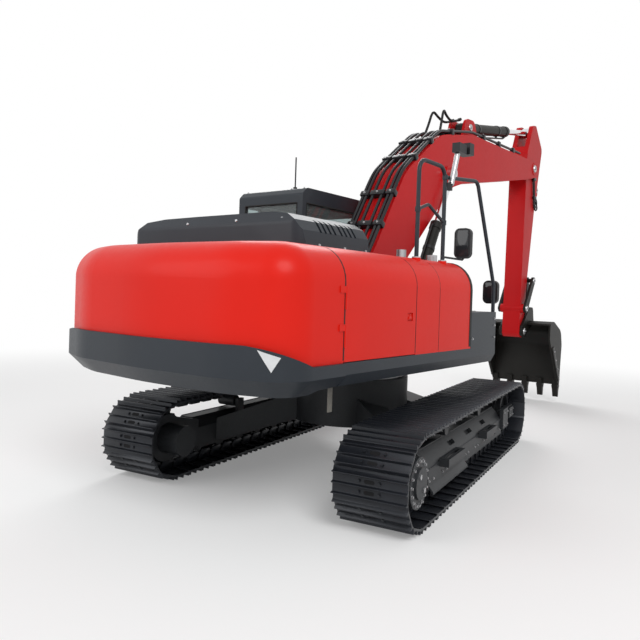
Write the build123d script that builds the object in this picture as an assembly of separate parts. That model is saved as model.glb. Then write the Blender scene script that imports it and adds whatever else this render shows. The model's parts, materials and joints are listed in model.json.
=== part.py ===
from build123d import *
import math
import os

os.makedirs("parts", exist_ok=True)

# Tracked hydraulic excavator, millimetres. +X forward along the boom, +Y left, +Z up,
# origin on the swing axis at ground level.
UNDER_TURN = 8.8          # the tracks stand turned this many degrees from the upper structure
UPPER_BACK = 200          # the upper structure is drawn from a datum this far behind the swing axis
UPPER_UP = 75             # and this far above the ground
TRACK_AHEAD = 20          # the tracks' middle lies this far ahead of the swing axis
FIT = 0.4                 # running gap at pins and rings
SEAT = 0.3                # gap between pieces that lie on each other

# tracks
TRACK_GAUGE = 2400
SHOE_WIDTH = 600
SHOE_COUNT = 48
WHEEL_X = 1795            # sprocket at -WHEEL_X, idler at +WHEEL_X
WHEEL_Z = 380             # height of both wheel centres
PIN_LINE = 297            # radius of the chain's pin line round a wheel
PLATE_OFF = 57            # shoe plate's outer face above the pin line
GROUSER = 26
BAND_IN = 318             # inner radius of the shoe band
RAIL_IN = 247             # tread radius of the link rails
RAIL_Y = (62, 102)        # link rails, to either side of the chain's middle

# side frames
FRAME_X = (-1340, 1330)
ROLLER_X = (-1260, -900, -540, -180, 180, 540, 900, 1260)
ROLLER_R = 80
CARRIER_X = (-620, 560)
CARRIER_R = 60

# slew ring and centre frame
RING_MID = 555
RING_IN = 470
RING_OUT = 640
RING_Z = (840, 960)
DECK_Z = (1040, 1080)

# upper structure
HALF_W = 1310
SKIRT_Z = (1030, 1205)
RIDGE_Z = 1115            # below this ridge the skirts and the tail band run inward
PANEL_TOP = 2070
PANEL_ROUND = 280
SEAM_REAR = -1800         # counterweight to side doors
SEAM_DOOR = -720          # side door to hydraulic tank
SEAM_TANK = -280          # hydraulic tank to fuel tank
TANK_FRONT = 430
DECK_FRONT = 1080
DOOR_T = 36
TAIL_X = -2640
LIFT_Y = 760              # lifting sockets in the counterweight's top
LIFT_R = 25
TANK_IN_Y = -640
LID_Y = (HALF_W - 150, HALF_W - 650)    # tool box lid, outer and inner edge on the right

# cab
CAB_X = (-250, 1240)
CAB_Y = (388, HALF_W + 40)
CAB_Z = (1206, 2870)
CAB_T = 55

# front end, side view (x, z)
BOOM_FOOT = (150, 1700)
BOOM_TIP = (5290, 3985)
ARM_TIP = (5140, 1180)
BOOM_CYL_FOOT = (830, 1330)
BOOM_CYL_HEAD = (1960, 3330)
ARM_CYL_FOOT = (2850, 4150)
ARM_CYL_HEAD = (5490, 4670)
BKT_CYL_FOOT = (5800, 3700)
ROCKER_PIN = (5120, 1570)
LINK_PIN = (5450, 2060)
BKT_LINK = (5500, 1500)
BOOM_HALF = 225
ARM_HALF = 150
BOOM_CYL_Y = 302
BUCKET_HALF = 600


def box(x0, x1, y0, y1, z0, z1):
    place = Pos((x0 + x1) / 2, (y0 + y1) / 2, (z0 + z1) / 2)
    return place * Box(abs(x1 - x0), abs(y1 - y0), abs(z1 - z0))


def side(points, y0, y1, rounds=()):
    """Outline in side view (x, z) from y0 to y1; rounds gives (corner number, radius)."""
    face = make_face(Polyline(*[(x, z) for x, z in points], close=True))
    for number, radius in rounds:
        target = points[number]
        corner = min(face.vertices(), key=lambda v: math.hypot(v.X - target[0], v.Y - target[1]))
        face = fillet(corner, radius)
    face = Plane(origin=(0, y0, 0), x_dir=(1, 0, 0), z_dir=(0, -1, 0)) * face
    return extrude(face, amount=y1 - y0, dir=(0, 1, 0))


def across(points, x0, x1):
    """Outline seen from behind (y, z), from x0 to x1."""
    face = make_face(Polyline(*[(0, y, z) for y, z in points], close=True))
    return extrude(Pos(x0, 0, 0) * face, amount=x1 - x0, dir=(1, 0, 0))


def plan(points, z0, z1, rounds=()):
    face = make_face(Polyline(*points, close=True))
    for number, radius in rounds:
        target = points[number]
        corner = min(face.vertices(), key=lambda v: math.hypot(v.X - target[0], v.Y - target[1]))
        face = fillet(corner, radius)
    return extrude(Pos(0, 0, z0) * face, amount=z1 - z0, dir=(0, 0, 1))


def rod_y(at, radius, y0, y1):
    spot = Plane(origin=(at[0], y0, at[1]), x_dir=(1, 0, 0), z_dir=(0, 1, 0))
    return Part() + Solid.make_cylinder(radius, y1 - y0, spot)


def rod_z(x, y, radius, z0, z1):
    return Part() + Solid.make_cylinder(radius, z1 - z0, Plane(origin=(x, y, z0)))


def rod(p, q, radius):
    run = Vector(*q) - Vector(*p)
    return Part() + Solid.make_cylinder(radius, run.length, Plane(origin=p, z_dir=run))


def tube(points, radius, bend):
    path = FilletPolyline(*points, radius=bend)
    return sweep(Plane(path @ 0, z_dir=path % 0) * Circle(radius), path=path)


def toward(p, q, distance):
    span = math.hypot(q[0] - p[0], q[1] - p[1])
    return (p[0] + (q[0] - p[0]) * distance / span, p[1] + (q[1] - p[1]) * distance / span)


def stadium(radius, y0, y1):
    flat = box(-WHEEL_X, WHEEL_X, y0, y1, WHEEL_Z - radius, WHEEL_Z + radius)
    ends = rod_y((-WHEEL_X, WHEEL_Z), radius, y0, y1) + rod_y((WHEEL_X, WHEEL_Z), radius, y0, y1)
    return flat + ends


def solids_of(shape):
    return shape.solids() if hasattr(shape, "solids") else [shape]


def save(name, *shapes, place=Pos(-UPPER_BACK, 0, UPPER_UP)):
    found = []
    for shape in shapes:
        found += [place * s for s in solids_of(shape)]
    export_step(Compound(children=found) if len(found) > 1 else found[0], f"parts/{name}.step")


TURNED = Rot(0, 0, UNDER_TURN)
ON_TRACKS = TURNED * Pos(TRACK_AHEAD, 0, 0)


def both_sides(shape):
    return shape, mirror(shape, about=Plane.XZ)


# undercarriage, drawn straight and turned when saved


def chain_point(run):
    """Point of the pin line at a distance run from the bottom rear, going forward."""
    straight = 2 * WHEEL_X
    arc = math.pi * PIN_LINE
    run = run % (2 * straight + 2 * arc)
    if run < straight:
        return (-WHEEL_X + run, WHEEL_Z - PIN_LINE)
    run -= straight
    if run < arc:
        a = run / PIN_LINE - math.pi / 2
        return (WHEEL_X + PIN_LINE * math.cos(a), WHEEL_Z + PIN_LINE * math.sin(a))
    run -= arc
    if run < straight:
        return (WHEEL_X - run, WHEEL_Z + PIN_LINE)
    a = (run - straight) / PIN_LINE + math.pi / 2
    return (-WHEEL_X + PIN_LINE * math.cos(a), WHEEL_Z + PIN_LINE * math.sin(a))


# one shoe's outer outline: along the shoe (parts of its pitch), above its plate
SHOE_OUTLINE = (
    (0.02, 0), (0.07, GROUSER), (0.15, 0),
    (0.42, 0), (0.50, GROUSER), (0.58, 0),
    (0.85, 0), (0.93, GROUSER), (0.98, 0),
)


def track():
    length = 4 * WHEEL_X + 2 * math.pi * PIN_LINE
    pitch = length / SHOE_COUNT
    points = []
    for shoe in range(SHOE_COUNT):
        a = chain_point(shoe * pitch)
        b = chain_point((shoe + 1) * pitch)
        span = math.hypot(b[0] - a[0], b[1] - a[1])
        t = ((b[0] - a[0]) / span, (b[1] - a[1]) / span)
        n = (t[1], -t[0])
        for part_of_pitch, rise in SHOE_OUTLINE:
            along = part_of_pitch * span
            up = PLATE_OFF + rise
            points.append((a[0] + t[0] * along + n[0] * up, a[1] + t[1] * along + n[1] * up))
    y0 = TRACK_GAUGE / 2 - SHOE_WIDTH / 2
    band = side(points, y0, y0 + SHOE_WIDTH) - stadium(BAND_IN, y0 - 1, y0 + SHOE_WIDTH + 1)
    mid = TRACK_GAUGE / 2
    for sign in (-1, 1):
        lo, hi = sorted((mid + sign * RAIL_Y[0], mid + sign * RAIL_Y[1]))
        band += stadium(BAND_IN + 6, lo, hi) - stadium(RAIL_IN, lo - 1, hi + 1)
    return band


left_track = track()
save("track_left", left_track, place=ON_TRACKS)
save("track_right", mirror(left_track, about=Plane.XZ), place=ON_TRACKS)

MID = TRACK_GAUGE / 2
FRAME_HALF = 180          # side frame's half width
frame = across(
    (
        (MID - 170, 190), (MID - 128, 190), (MID - 128, 300), (MID + 128, 300), (MID + 128, 190),
        (MID + FRAME_HALF, 190), (MID + FRAME_HALF, 365), (MID + 60, 492), (MID - 80, 492), (MID - 170, 400),
    ),
    *FRAME_X,
)
# slots in the outer slope: middle along the frame, length
for x, long in ((-520, 170), (60, 220), (640, 170)):
    slope = Plane(origin=(x, MID + 120, 428), x_dir=(1, 0, 0), z_dir=(0, 127, 120))
    frame -= extrude(slope * Rectangle(long, 46), amount=40, both=True)
frame -= box(980, 1030, MID + 140, MID + 200, 235, 340)
# idler yoke: two side bars, a nose block on the outer bar
for sign in (-1, 1):
    lo, hi = sorted((MID + sign * 128, MID + sign * 172))
    frame += box(FRAME_X[1], WHEEL_X + 150, lo, hi, 300, 455)
frame += box(FRAME_X[1] - 60, FRAME_X[1] + 190, MID + 172, MID + 215, 250, 480)
frame += box(WHEEL_X - 110, WHEEL_X + 110, MID + 172, MID + 200, 320, 440)
# rear plate that carries the final drive
frame += side(((-1340, 220), (-1340, 480), (-WHEEL_X, 590), (-WHEEL_X, 170)), MID - 170, MID - 128)
frame += rod_y((-WHEEL_X, WHEEL_Z), 220, MID - 170, MID - 128)
for x in CARRIER_X:
    frame += box(x - 50, x + 50, MID - 170, MID - 130, 380, 600)
# steps on the outer side: start, end
for x0, x1 in ((-1060, -560), (260, 700)):
    step = box(x0, x1, MID + FRAME_HALF, MID + 270, 330, 400) - box(x0 + 16, x1 - 16, MID + FRAME_HALF,
                                                                    MID + 254, 320, 384)
    frame += step - box(x0 + 60, x1 - 60, MID + FRAME_HALF + 24, MID + 240, 370, 410)
# chain guard along the rear rollers
frame += across(((MID + FRAME_HALF, 190), (MID + 215, 150), (MID + 215, 170), (MID + FRAME_HALF, 215)),
                -1300, -260)
save("side_frames", *both_sides(frame), place=ON_TRACKS)

rollers = []
for x in ROLLER_X:
    at = (x, WHEEL_Z - RAIL_IN + ROLLER_R + SEAT)
    body = rod_y(at, ROLLER_R, MID - 105, MID + 105) - (
        rod_y(at, ROLLER_R + 5, MID - 50, MID + 50) - rod_y(at, 58, MID - 50, MID + 50)
    )
    rollers.append(body + rod_y(at, 28, MID - 128, MID + 128))
save("bottom_rollers", *[s for r in rollers for s in both_sides(r)], place=ON_TRACKS)

carriers = []
for x in CARRIER_X:
    at = (x, WHEEL_Z + RAIL_IN - CARRIER_R - SEAT)
    carriers.append(rod_y(at, CARRIER_R, MID - 105, MID + 105) + rod_y(at, 25, MID - 130, MID - 100))
save("carrier_rollers", *[s for c in carriers for s in both_sides(c)], place=ON_TRACKS)

at = (WHEEL_X, WHEEL_Z)
idler = rod_y(at, RAIL_IN - SEAT, MID - 108, MID + 108) + rod_y(at, 296, MID - 54, MID + 54)
idler -= rod_y(at, 190, MID + 60, MID + 120) + rod_y(at, 190, MID - 120, MID - 60)
idler += rod_y(at, 70, MID - 128, MID + 128)
save("idlers", *both_sides(idler), place=ON_TRACKS)

TEETH = 21
at = (-WHEEL_X, WHEEL_Z)
sprocket = rod_y(at, 262, MID - 35, MID + 35)
for tooth in range(TEETH):
    a = 2 * math.pi * tooth / TEETH
    c, s = math.cos(a), math.sin(a)
    shape = []
    for r, w in ((240, -26), (300, -11), (300, 11), (240, 26)):
        shape.append((at[0] + r * c - w * s, at[1] + r * s + w * c))
    sprocket += side(shape, MID - 35, MID + 35)
sprocket += rod_y(at, 215, MID - 60, MID + 60)
sprocket += rod_y(at, 165, MID - 128, MID - 60)
save("sprockets", *both_sides(sprocket), place=ON_TRACKS)

drive_out = rod_y(at, 212, MID + 60, MID + 150) + rod_y(at, 196, MID + 150, MID + 262) + rod_y(at, 120,
                                                                                               MID + 262,
                                                                                               MID + 284)
drive_in = rod_y(at, 140, MID - 400, MID - 170)
save("final_drives", *both_sides(drive_out), *both_sides(drive_in), place=ON_TRACKS)

center = rod_z(0, 0, RING_OUT, 440, RING_Z[0] + UPPER_UP)
for sx in (-1, 1):
    for sy in (-1, 1):
        inner = Plane(origin=(sx * 330, sy * 350, 590), x_dir=(1, 0, 0), z_dir=(0, sy, 0))
        outer = Plane(origin=(sx * 820, sy * (MID - 170), 335), x_dir=(1, 0, 0), z_dir=(0, sy, 0))
        center += loft([inner * Rectangle(420, 290), outer * Rectangle(420, 230)])
save("center_frame", center, place=TURNED)

ring_in = rod_z(0, 0, RING_MID, *RING_Z) - rod_z(0, 0, RING_IN, RING_Z[0] - 1, RING_Z[1] + 1)
save("slew_ring_inner", ring_in, place=TURNED * Pos(0, 0, UPPER_UP))
ring_out = rod_z(0, 0, RING_OUT, RING_Z[0] + 30, DECK_Z[0])
ring_out -= rod_z(0, 0, RING_MID + FIT, RING_Z[0], DECK_Z[0] + 1)
save("slew_ring_outer", ring_out, place=Pos(0, 0, UPPER_UP))

# upper structure

deck = plan(
    ((SEAM_REAR, -HALF_W + 60), (DECK_FRONT, -HALF_W + 60), (DECK_FRONT, -480), (950, -480), (950, 300),
     (1150, 300), (1150, HALF_W - 60), (SEAM_REAR, HALF_W - 60)),
    *DECK_Z,
)
SKIRT = (
    (HALF_W - 60, SKIRT_Z[0]), (HALF_W - 45, SKIRT_Z[0]), (HALF_W, RIDGE_Z), (HALF_W, SKIRT_Z[1]),
    (HALF_W - 60, SKIRT_Z[1]),
)
deck += across([(-y, z) for y, z in SKIRT], SEAM_REAR + 5, DECK_FRONT) + across(SKIRT, SEAM_REAR + 5, 1150)
FOOT_IN = 262.0
for sign in (-1, 1):
    lo, hi = sorted((sign * FOOT_IN, sign * (FOOT_IN + 30)))
    deck += side(
        ((-700, 1080), (-700, 1250), (-60, 1800), (150, 1850), (290, 1780), (480, 1250), (950, 1180),
         (950, 1080)),
        lo, hi, ((2, 90), (3, 120), (4, 90)),
    )
    for y0, y1 in ((BOOM_CYL_Y - 65, BOOM_CYL_Y - 38 - FIT), (BOOM_CYL_Y + 38 + FIT, BOOM_CYL_Y + 70)):
        lo, hi = sorted((sign * y0, sign * y1))
        deck += side(((640, 1080), (740, 1380), (920, 1380), (950, 1080)), lo, hi, ((1, 70), (2, 70)))
    lo, hi = sorted((sign * (BOOM_CYL_Y - 60), sign * (BOOM_CYL_Y + 60)))
    deck += rod_y(BOOM_CYL_FOOT, 45, lo, hi)
deck += rod_y(BOOM_FOOT, 55, -FOOT_IN - 30, FOOT_IN + 30)
save("deck", deck)

TAIL = ((SEAM_REAR - SEAT, -HALF_W), (SEAM_REAR - SEAT, HALF_W), (TAIL_X + 235, HALF_W),
        (TAIL_X + 55, HALF_W - 510),
        (TAIL_X, 0), (TAIL_X + 55, 510 - HALF_W), (TAIL_X + 235, -HALF_W))


def tail(z0, z1, grow=0):
    p = [
        (x - (grow if x < -2000 else 0), y + math.copysign(grow, y) * (abs(y) > HALF_W - 1))
        for x, y in TAIL
    ]
    return plan(p, z0, z1, ((2, 330), (6, 330), (3, 900), (5, 900), (4, 3000)))


# the grey band's top edge in side view: high round the tail, dropping to the sill at the seam
BAND_TOP = 1345
BAND_DROP = (-2540, -2190)
BAND_LOW = 990
BAND_PROUD = 32


def band_part(lift):
    return side(
        ((-3100, 900), (SEAM_REAR + 50, 900), (SEAM_REAR + 50, SKIRT_Z[1] + lift),
         (BAND_DROP[1], SKIRT_Z[1] + lift),
         (BAND_DROP[0], BAND_TOP + lift), (-3100, BAND_TOP + lift)), -1500, 1500,
    )


weight = tail(1150, PANEL_TOP)
weight = fillet(
    [e for e in weight.edges() if abs(e.center().Z - PANEL_TOP) < 1 and e.center().X < SEAM_REAR - 20],
    PANEL_ROUND
)
weight -= band_part(SEAT)
HINGE_Z = (1320, 1600)
for sign in (-1, 1):
    for z in HINGE_Z:
        lo, hi = sorted((sign * (HALF_W - 4), sign * (HALF_W + 9)))
        weight += rod_z(SEAM_REAR + 10, sign * (HALF_W + 2), 10, z + 120 + FIT, z + 170)
        weight += box(SEAM_REAR - 70, SEAM_REAR + 10, lo, hi, z + 120 + FIT, z + 170) - box(
            SEAM_REAR - SEAT, SEAM_REAR + 40, sign * (HALF_W - 10), sign * (HALF_W + 0.5), z, z + 200
        )
    weight -= rod_z(-2180, sign * LIFT_Y, LIFT_R, PANEL_TOP - 90, PANEL_TOP + 10)
save("counterweight", weight)

band = tail(BAND_LOW, BAND_TOP + 60, BAND_PROUD)
band = chamfer(
    [e for e in band.edges() if abs(e.center().Z - BAND_LOW) < 1 and e.center().X < SEAM_REAR - 20],
    RIDGE_Z - BAND_LOW
)
band = band & band_part(0)
band -= side(((SEAM_REAR + 50, 900), (SEAM_REAR + 50, SKIRT_Z[0]), (-2000, SKIRT_Z[0] - 10), (-2350, 900)),
             -1500, 1500)
save("counterweight_skirt", band)

# rounded side wall outline, seen from behind: (y, z) of the outer face
def wall(y_out, y_top, z0, thick):
    s = math.copysign(1, y_out)
    y = abs(y_out)
    outer = Polyline((0, s * y, z0), (0, s * y, PANEL_TOP - PANEL_ROUND))
    bend = ThreePointArc(
        (0, s * y, PANEL_TOP - PANEL_ROUND),
        (0, s * (y - PANEL_ROUND * (1 - math.cos(math.pi / 4))),
         PANEL_TOP - PANEL_ROUND * (1 - math.sin(math.pi / 4))),
        (0, s * (y - PANEL_ROUND), PANEL_TOP),
    )
    if thick is None:
        rest = Polyline((0, s * (y - PANEL_ROUND), PANEL_TOP), (0, s * abs(y_top), PANEL_TOP),
                        (0, s * abs(y_top), z0), (0, s * y, z0))
        return make_face([outer, bend, rest])
    r = PANEL_ROUND - thick
    back = ThreePointArc(
        (0, s * (y - PANEL_ROUND), PANEL_TOP - thick),
        (0, s * (y - thick - r * (1 - math.cos(math.pi / 4))),
         PANEL_TOP - thick - r * (1 - math.sin(math.pi / 4))),
        (0, s * (y - thick), PANEL_TOP - PANEL_ROUND),
    )
    end = Line((0, s * (y - PANEL_ROUND), PANEL_TOP), (0, s * (y - PANEL_ROUND), PANEL_TOP - thick))
    inner = Polyline((0, s * (y - thick), PANEL_TOP - PANEL_ROUND), (0, s * (y - thick), z0), (0, s * y, z0))
    return make_face([outer, bend, end, back, inner])


def run_x(face, x0, x1):
    return extrude(Pos(x0, 0, 0) * face, amount=x1 - x0, dir=(1, 0, 0))


Z_SILL = SKIRT_Z[1] + SEAT
for name, sign, x1 in (("pump_door", -1, SEAM_DOOR), ("radiator_door", 1, CAB_X[0] - 130)):
    door = run_x(wall(sign * HALF_W, 0, Z_SILL + 6, DOOR_T), SEAM_REAR + 6, x1 - 6)
    for z in HINGE_Z:
        door -= rod_z(SEAM_REAR + 10, sign * (HALF_W + 2), 11, z + 119, z + 171)
        door += rod_z(SEAM_REAR + 10, sign * (HALF_W + 2), 10, z, z + 120)
    if sign > 0:
        for row in range(9):
            z = 1400 + 48 * row
            for x0 in (-1600, -1080):
                door -= box(x0, x0 + 430, HALF_W - 60, HALF_W + 10, z, z + 20)
    door -= box(x1 - 150, x1 - 60, sign * (HALF_W - 18), sign * (HALF_W + 10), 1500, 1570)
    save(name, door)

RAIL_Y0 = 190 - HALF_W    # the handrails' posts, on bosses at the tanks' shoulders
POST_X = (-410, 120)
BOSS_R = 42
hyd = run_x(wall(-HALF_W, TANK_IN_Y, Z_SILL, None), SEAM_DOOR + 3, SEAM_TANK - 3)
hyd += rod_z(POST_X[0], RAIL_Y0, BOSS_R, PANEL_TOP - 120, PANEL_TOP)
save("hydraulic_tank", hyd - box(SEAM_DOOR + 33, SEAM_TANK - 33, -HALF_W + 30, TANK_IN_Y - 30, 1000, 1840))
fuel = run_x(wall(-HALF_W, TANK_IN_Y, Z_SILL, None), SEAM_TANK + 3, TANK_FRONT)
fuel += rod_z(POST_X[1], RAIL_Y0, BOSS_R, PANEL_TOP - 120, PANEL_TOP)
save("fuel_tank", fuel - box(SEAM_TANK + 33, TANK_FRONT - 30, -HALF_W + 30, TANK_IN_Y - 30, 1000, 1840))

# the hood: top of its rear and front ends in side view, and its section across the machine
HOOD_BACK = SEAM_REAR - 50
HOOD_FRONT = SEAM_DOOR - 160
HOOD_TOP = PANEL_TOP + 282
COVER_Y = (450 - HALF_W, HALF_W - 350)     # inner edges of the top covers
cover = box(SEAM_REAR, SEAM_DOOR - 6, -HALF_W + PANEL_ROUND + 6, COVER_Y[0], PANEL_TOP - 30, PANEL_TOP)
cover += box(SEAM_REAR, CAB_X[0] - 20, COVER_Y[1], HALF_W - PANEL_ROUND - 6, PANEL_TOP - 30, PANEL_TOP)
cover += box(SEAM_REAR, SEAM_REAR + 60, *COVER_Y, PANEL_TOP - 30, PANEL_TOP)
cover += box(HOOD_FRONT + 12, SEAM_DOOR - 6, *COVER_Y, PANEL_TOP - 30, PANEL_TOP)
cover += box(SEAM_DOOR - 40, SEAM_DOOR - 6, *COVER_Y, DECK_Z[1], PANEL_TOP)
cover += box(CAB_X[0] - 110, CAB_X[0] - 20, COVER_Y[1], HALF_W - 70, DECK_Z[1], PANEL_TOP - 30)
cover += box(SEAM_DOOR - 6, CAB_X[0] - 20, 330, COVER_Y[1] + 20, PANEL_TOP - 30, PANEL_TOP)
save("body_covers", cover)

# (y, height above the panels) from the left edge over the top to the right edge;
# the inside lies HOOD_T within
HOOD = ((1180, 0), (1165, 105), (1100, 190), (995, 256), (745, 278), (300, 282), (-560, 282), (-740, 264),
        (-835, 210),
        (-888, 130), (-905, 0))
HOOD_T = 32
HOOD_MID = 140


def hood_body(inset):
    low = PANEL_TOP + SEAT - (1 if inset else 0)
    shrink = 1 - inset / 1040
    section = [(HOOD_MID + (y - HOOD_MID) * shrink, low + max(0, h - (inset if h else 0))) for y, h in HOOD]
    along = side(
        ((HOOD_BACK + inset, PANEL_TOP - 50), (HOOD_BACK + inset, HOOD_TOP - 90),
         (HOOD_BACK + inset + 70, HOOD_TOP + 60),
         (HOOD_FRONT - inset, HOOD_TOP + 60), (HOOD_FRONT - inset, PANEL_TOP - 50)), -HALF_W, HALF_W,
         ((1, 90),),
    )
    corner = plan(
        ((HOOD_BACK + inset, section[-1][0]), (HOOD_BACK + inset, section[0][0]),
         (HOOD_FRONT - inset, section[0][0]),
         (HOOD_FRONT - inset, section[-1][0])), PANEL_TOP - 50, HOOD_TOP + 60, ((0, 110), (1, 110)),
    )
    return across(section, HOOD_BACK, HOOD_FRONT) & along & corner


hood = hood_body(0) - hood_body(HOOD_T)
# air slots in the hood's right shoulder: first slot along the hood, number of slots
SLOT_STEP = 66
SLOT_W = 28
for x, count in ((-1580, 4), (-1290, 4)):
    for n in range(count):
        hood -= box(x + SLOT_STEP * n, x + SLOT_STEP * n + SLOT_W, -960, -800, PANEL_TOP + 125,
                    PANEL_TOP + 238)
HOOD_PIN = (HOOD_FRONT + 6, PANEL_TOP + 16)
hood += rod_y(HOOD_PIN, 8, -500, -380) + rod_y(HOOD_PIN, 8, 700, 820)
save("hood", hood)
save("engine_block", box(-1640, -900, -560, 720, DECK_Z[1], 1960))

TOOL_Z = (1540, 1572)    # the box's rim and the lid's top
TOOL_WALL = 25
tool = box(TANK_FRONT + 3, DECK_FRONT - 3, -HALF_W, -LID_Y[1], Z_SILL, TOOL_Z[0])
tool -= box(
    TANK_FRONT + 3 + TOOL_WALL, DECK_FRONT - 3 - TOOL_WALL, -LID_Y[0] + 15, -LID_Y[1] - TOOL_WALL,
    Z_SILL - 200, TOOL_Z[0] + 160,
)
tool += box(TANK_FRONT + 3, DECK_FRONT - 3, -HALF_W, -LID_Y[0] - 6, *TOOL_Z)
save("tool_box", tool)
lid = box(TANK_FRONT + 14, DECK_FRONT - 3, -LID_Y[0], -LID_Y[1], TOOL_Z[0] + SEAT, TOOL_Z[1])
lid += rod_y((TANK_FRONT + 14, sum(TOOL_Z) / 2), 10, -LID_Y[0] + 100, -LID_Y[1] - 100)
save("tool_box_lid", lid)

# cab: walls with windows, door, glass, seat and consoles
ROOF_FRONT = CAB_X[1] - 140
EAVE_Z = CAB_Z[1] - 80
SCREEN_LOW = 1800
HINGE_X = 168


def screen_x(z, back):
    """How far forward the sloping front lies at height z, less the distance back from its face."""
    return CAB_X[1] - back - max(0, z - SCREEN_LOW) * (CAB_X[1] - ROOF_FRONT) / (EAVE_Z - SCREEN_LOW)


CAB_OUT = ((CAB_X[0], CAB_Z[0]), (CAB_X[0], CAB_Z[1] - 70), (CAB_X[0] + 70, CAB_Z[1]),
           (ROOF_FRONT - 110, CAB_Z[1]),
           (ROOF_FRONT, EAVE_Z), (CAB_X[1], SCREEN_LOW), (CAB_X[1], CAB_Z[0]))
CAB_INSIDE = ((CAB_X[0] + 55, CAB_Z[0] + 40), (CAB_X[0] + 55, CAB_Z[1] - 100),
              (CAB_X[0] + 110, CAB_Z[1] - 60),
              (ROOF_FRONT - 130, CAB_Z[1] - 60), (screen_x(EAVE_Z - 30, 55), EAVE_Z - 30),
              (CAB_X[1] - 55, SCREEN_LOW - 10), (CAB_X[1] - 55, CAB_Z[0] + 40))
shell = side(CAB_OUT, *CAB_Y, ((1, 40), (2, 60), (3, 60), (4, 60)))
shell -= side(CAB_INSIDE, CAB_Y[0] + CAB_T, CAB_Y[1] - CAB_T)
WINDOW_Z = (1760, CAB_Z[1] - 170)
SIDE_WINDOW = ((CAB_X[0] + 70, WINDOW_Z[0]), (CAB_X[0] + 70, WINDOW_Z[1]),
               (screen_x(WINDOW_Z[1], 130), WINDOW_Z[1]),
               (screen_x(1900, 130), 1900), (screen_x(1900, 130), WINDOW_Z[0]))
shell -= side(SIDE_WINDOW, CAB_Y[0] - 1, CAB_Y[0] + CAB_T + 1)
DOOR_HOLE = ((HINGE_X - 18, 1260), (HINGE_X - 18, 2740), (screen_x(2740, 120), 2740),
             (screen_x(1800, 120), 1800),
             (screen_x(1260, 120), 1260))
shell -= side(DOOR_HOLE, CAB_Y[1] - CAB_T - 1, CAB_Y[1] + 1)
REAR_LEFT = ((CAB_X[0] + 60, WINDOW_Z[0]), (CAB_X[0] + 60, WINDOW_Z[1]), (HINGE_X - 88, WINDOW_Z[1]),
             (HINGE_X - 88, WINDOW_Z[0]))
shell -= side(REAR_LEFT, CAB_Y[1] - CAB_T - 1, CAB_Y[1] + 1)
REAR_Y = (CAB_Y[0] + 80, CAB_Y[1] - 100)
shell -= box(CAB_X[0] - 1, CAB_X[0] + 56, *REAR_Y, 1900, WINDOW_Z[1])
SCREEN_Y = (CAB_Y[0] + 70, CAB_Y[1] - 70)
shell -= box(CAB_X[1] - 180, CAB_X[1] + 60, *SCREEN_Y, 1500, WINDOW_Z[1])
for z in (1520, 2520):
    shell += rod_z(HINGE_X, CAB_Y[1] + 2, 12, z + FIT, z + 60)
    shell += box(HINGE_X - 78, HINGE_X, CAB_Y[1] - 4, CAB_Y[1] + 9, z + FIT, z + 60) - box(
        HINGE_X - 19, HINGE_X + 32, CAB_Y[1] - 9, CAB_Y[1] + 0.5, z, z + 90
    )
save("cab_shell", shell)

panes = side(SIDE_WINDOW, CAB_Y[0] + 20, CAB_Y[0] + 28)
rear_left = side(REAR_LEFT, CAB_Y[1] - 28, CAB_Y[1] - 20)
rear = box(CAB_X[0] + 20, CAB_X[0] + 28, *REAR_Y, 1900, WINDOW_Z[1])
front = side(
    ((screen_x(WINDOW_Z[1], 30), WINDOW_Z[1]), (CAB_X[1] - 30, SCREEN_LOW), (CAB_X[1] - 30, 1500),
     (CAB_X[1] - 22, 1500),
     (CAB_X[1] - 22, SCREEN_LOW), (screen_x(WINDOW_Z[1], 22), WINDOW_Z[1])), *SCREEN_Y,
)
save("cab_glass", panes, rear_left, rear, front)

door = side(
    ((HINGE_X - 12, 1266), (HINGE_X - 12, 2734), (screen_x(2734, 126), 2734), (screen_x(1800, 126), 1800),
     (screen_x(1266, 126), 1266)), CAB_Y[1] - CAB_T + 5, CAB_Y[1],
)
DOOR_WINDOW = ((HINGE_X + 62, 1500), (HINGE_X + 62, 2660), (screen_x(2660, 190), 2660),
               (screen_x(1800, 190), 1800),
               (screen_x(1500, 190), 1500))
door -= side(DOOR_WINDOW, CAB_Y[1] - CAB_T, CAB_Y[1] + 1)
for z in (1520, 2520):
    door -= rod_z(HINGE_X, CAB_Y[1] + 2, 13, z - 1, z + 61)
    door += rod_z(HINGE_X, CAB_Y[1] + 2, 12, z - 120, z)
save("cab_door", door)
save("cab_door_glass", side(DOOR_WINDOW, CAB_Y[1] - 34, CAB_Y[1] - 26))

mounts = []
for x in (CAB_X[0] + 150, CAB_X[1] - 150):
    for y in (CAB_Y[0] + 150, CAB_Y[1] - 180):
        mounts.append(rod_z(x, y, 60, DECK_Z[1], CAB_Z[0]))
save("cab_mounts", *mounts)
FLOOR = CAB_Z[0] + 40
CAB_MID = (CAB_Y[0] + CAB_Y[1]) / 2
CONSOLE_OUT = (CAB_Y[1] - CAB_Y[0]) / 2 - 153    # the consoles stand between the walls and the seat
CONSOLE_HALF = 70
SEAT_HALF = CONSOLE_OUT - CONSOLE_HALF - 18
BACK = ((140, FLOOR + 380), (20, FLOOR + 1040), (130, FLOOR + 1040), (270, FLOOR + 380))
seat = box(150, 650, CAB_MID - SEAT_HALF, CAB_MID + SEAT_HALF, FLOOR + 330, FLOOR + 450)
seat += side(BACK, CAB_MID - SEAT_HALF + 10, CAB_MID + SEAT_HALF - 10)
seat += box(230, 570, CAB_MID - SEAT_HALF + 70, CAB_MID + SEAT_HALF - 70, FLOOR, FLOOR + 350)
save("seat", seat)
consoles = []
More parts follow.
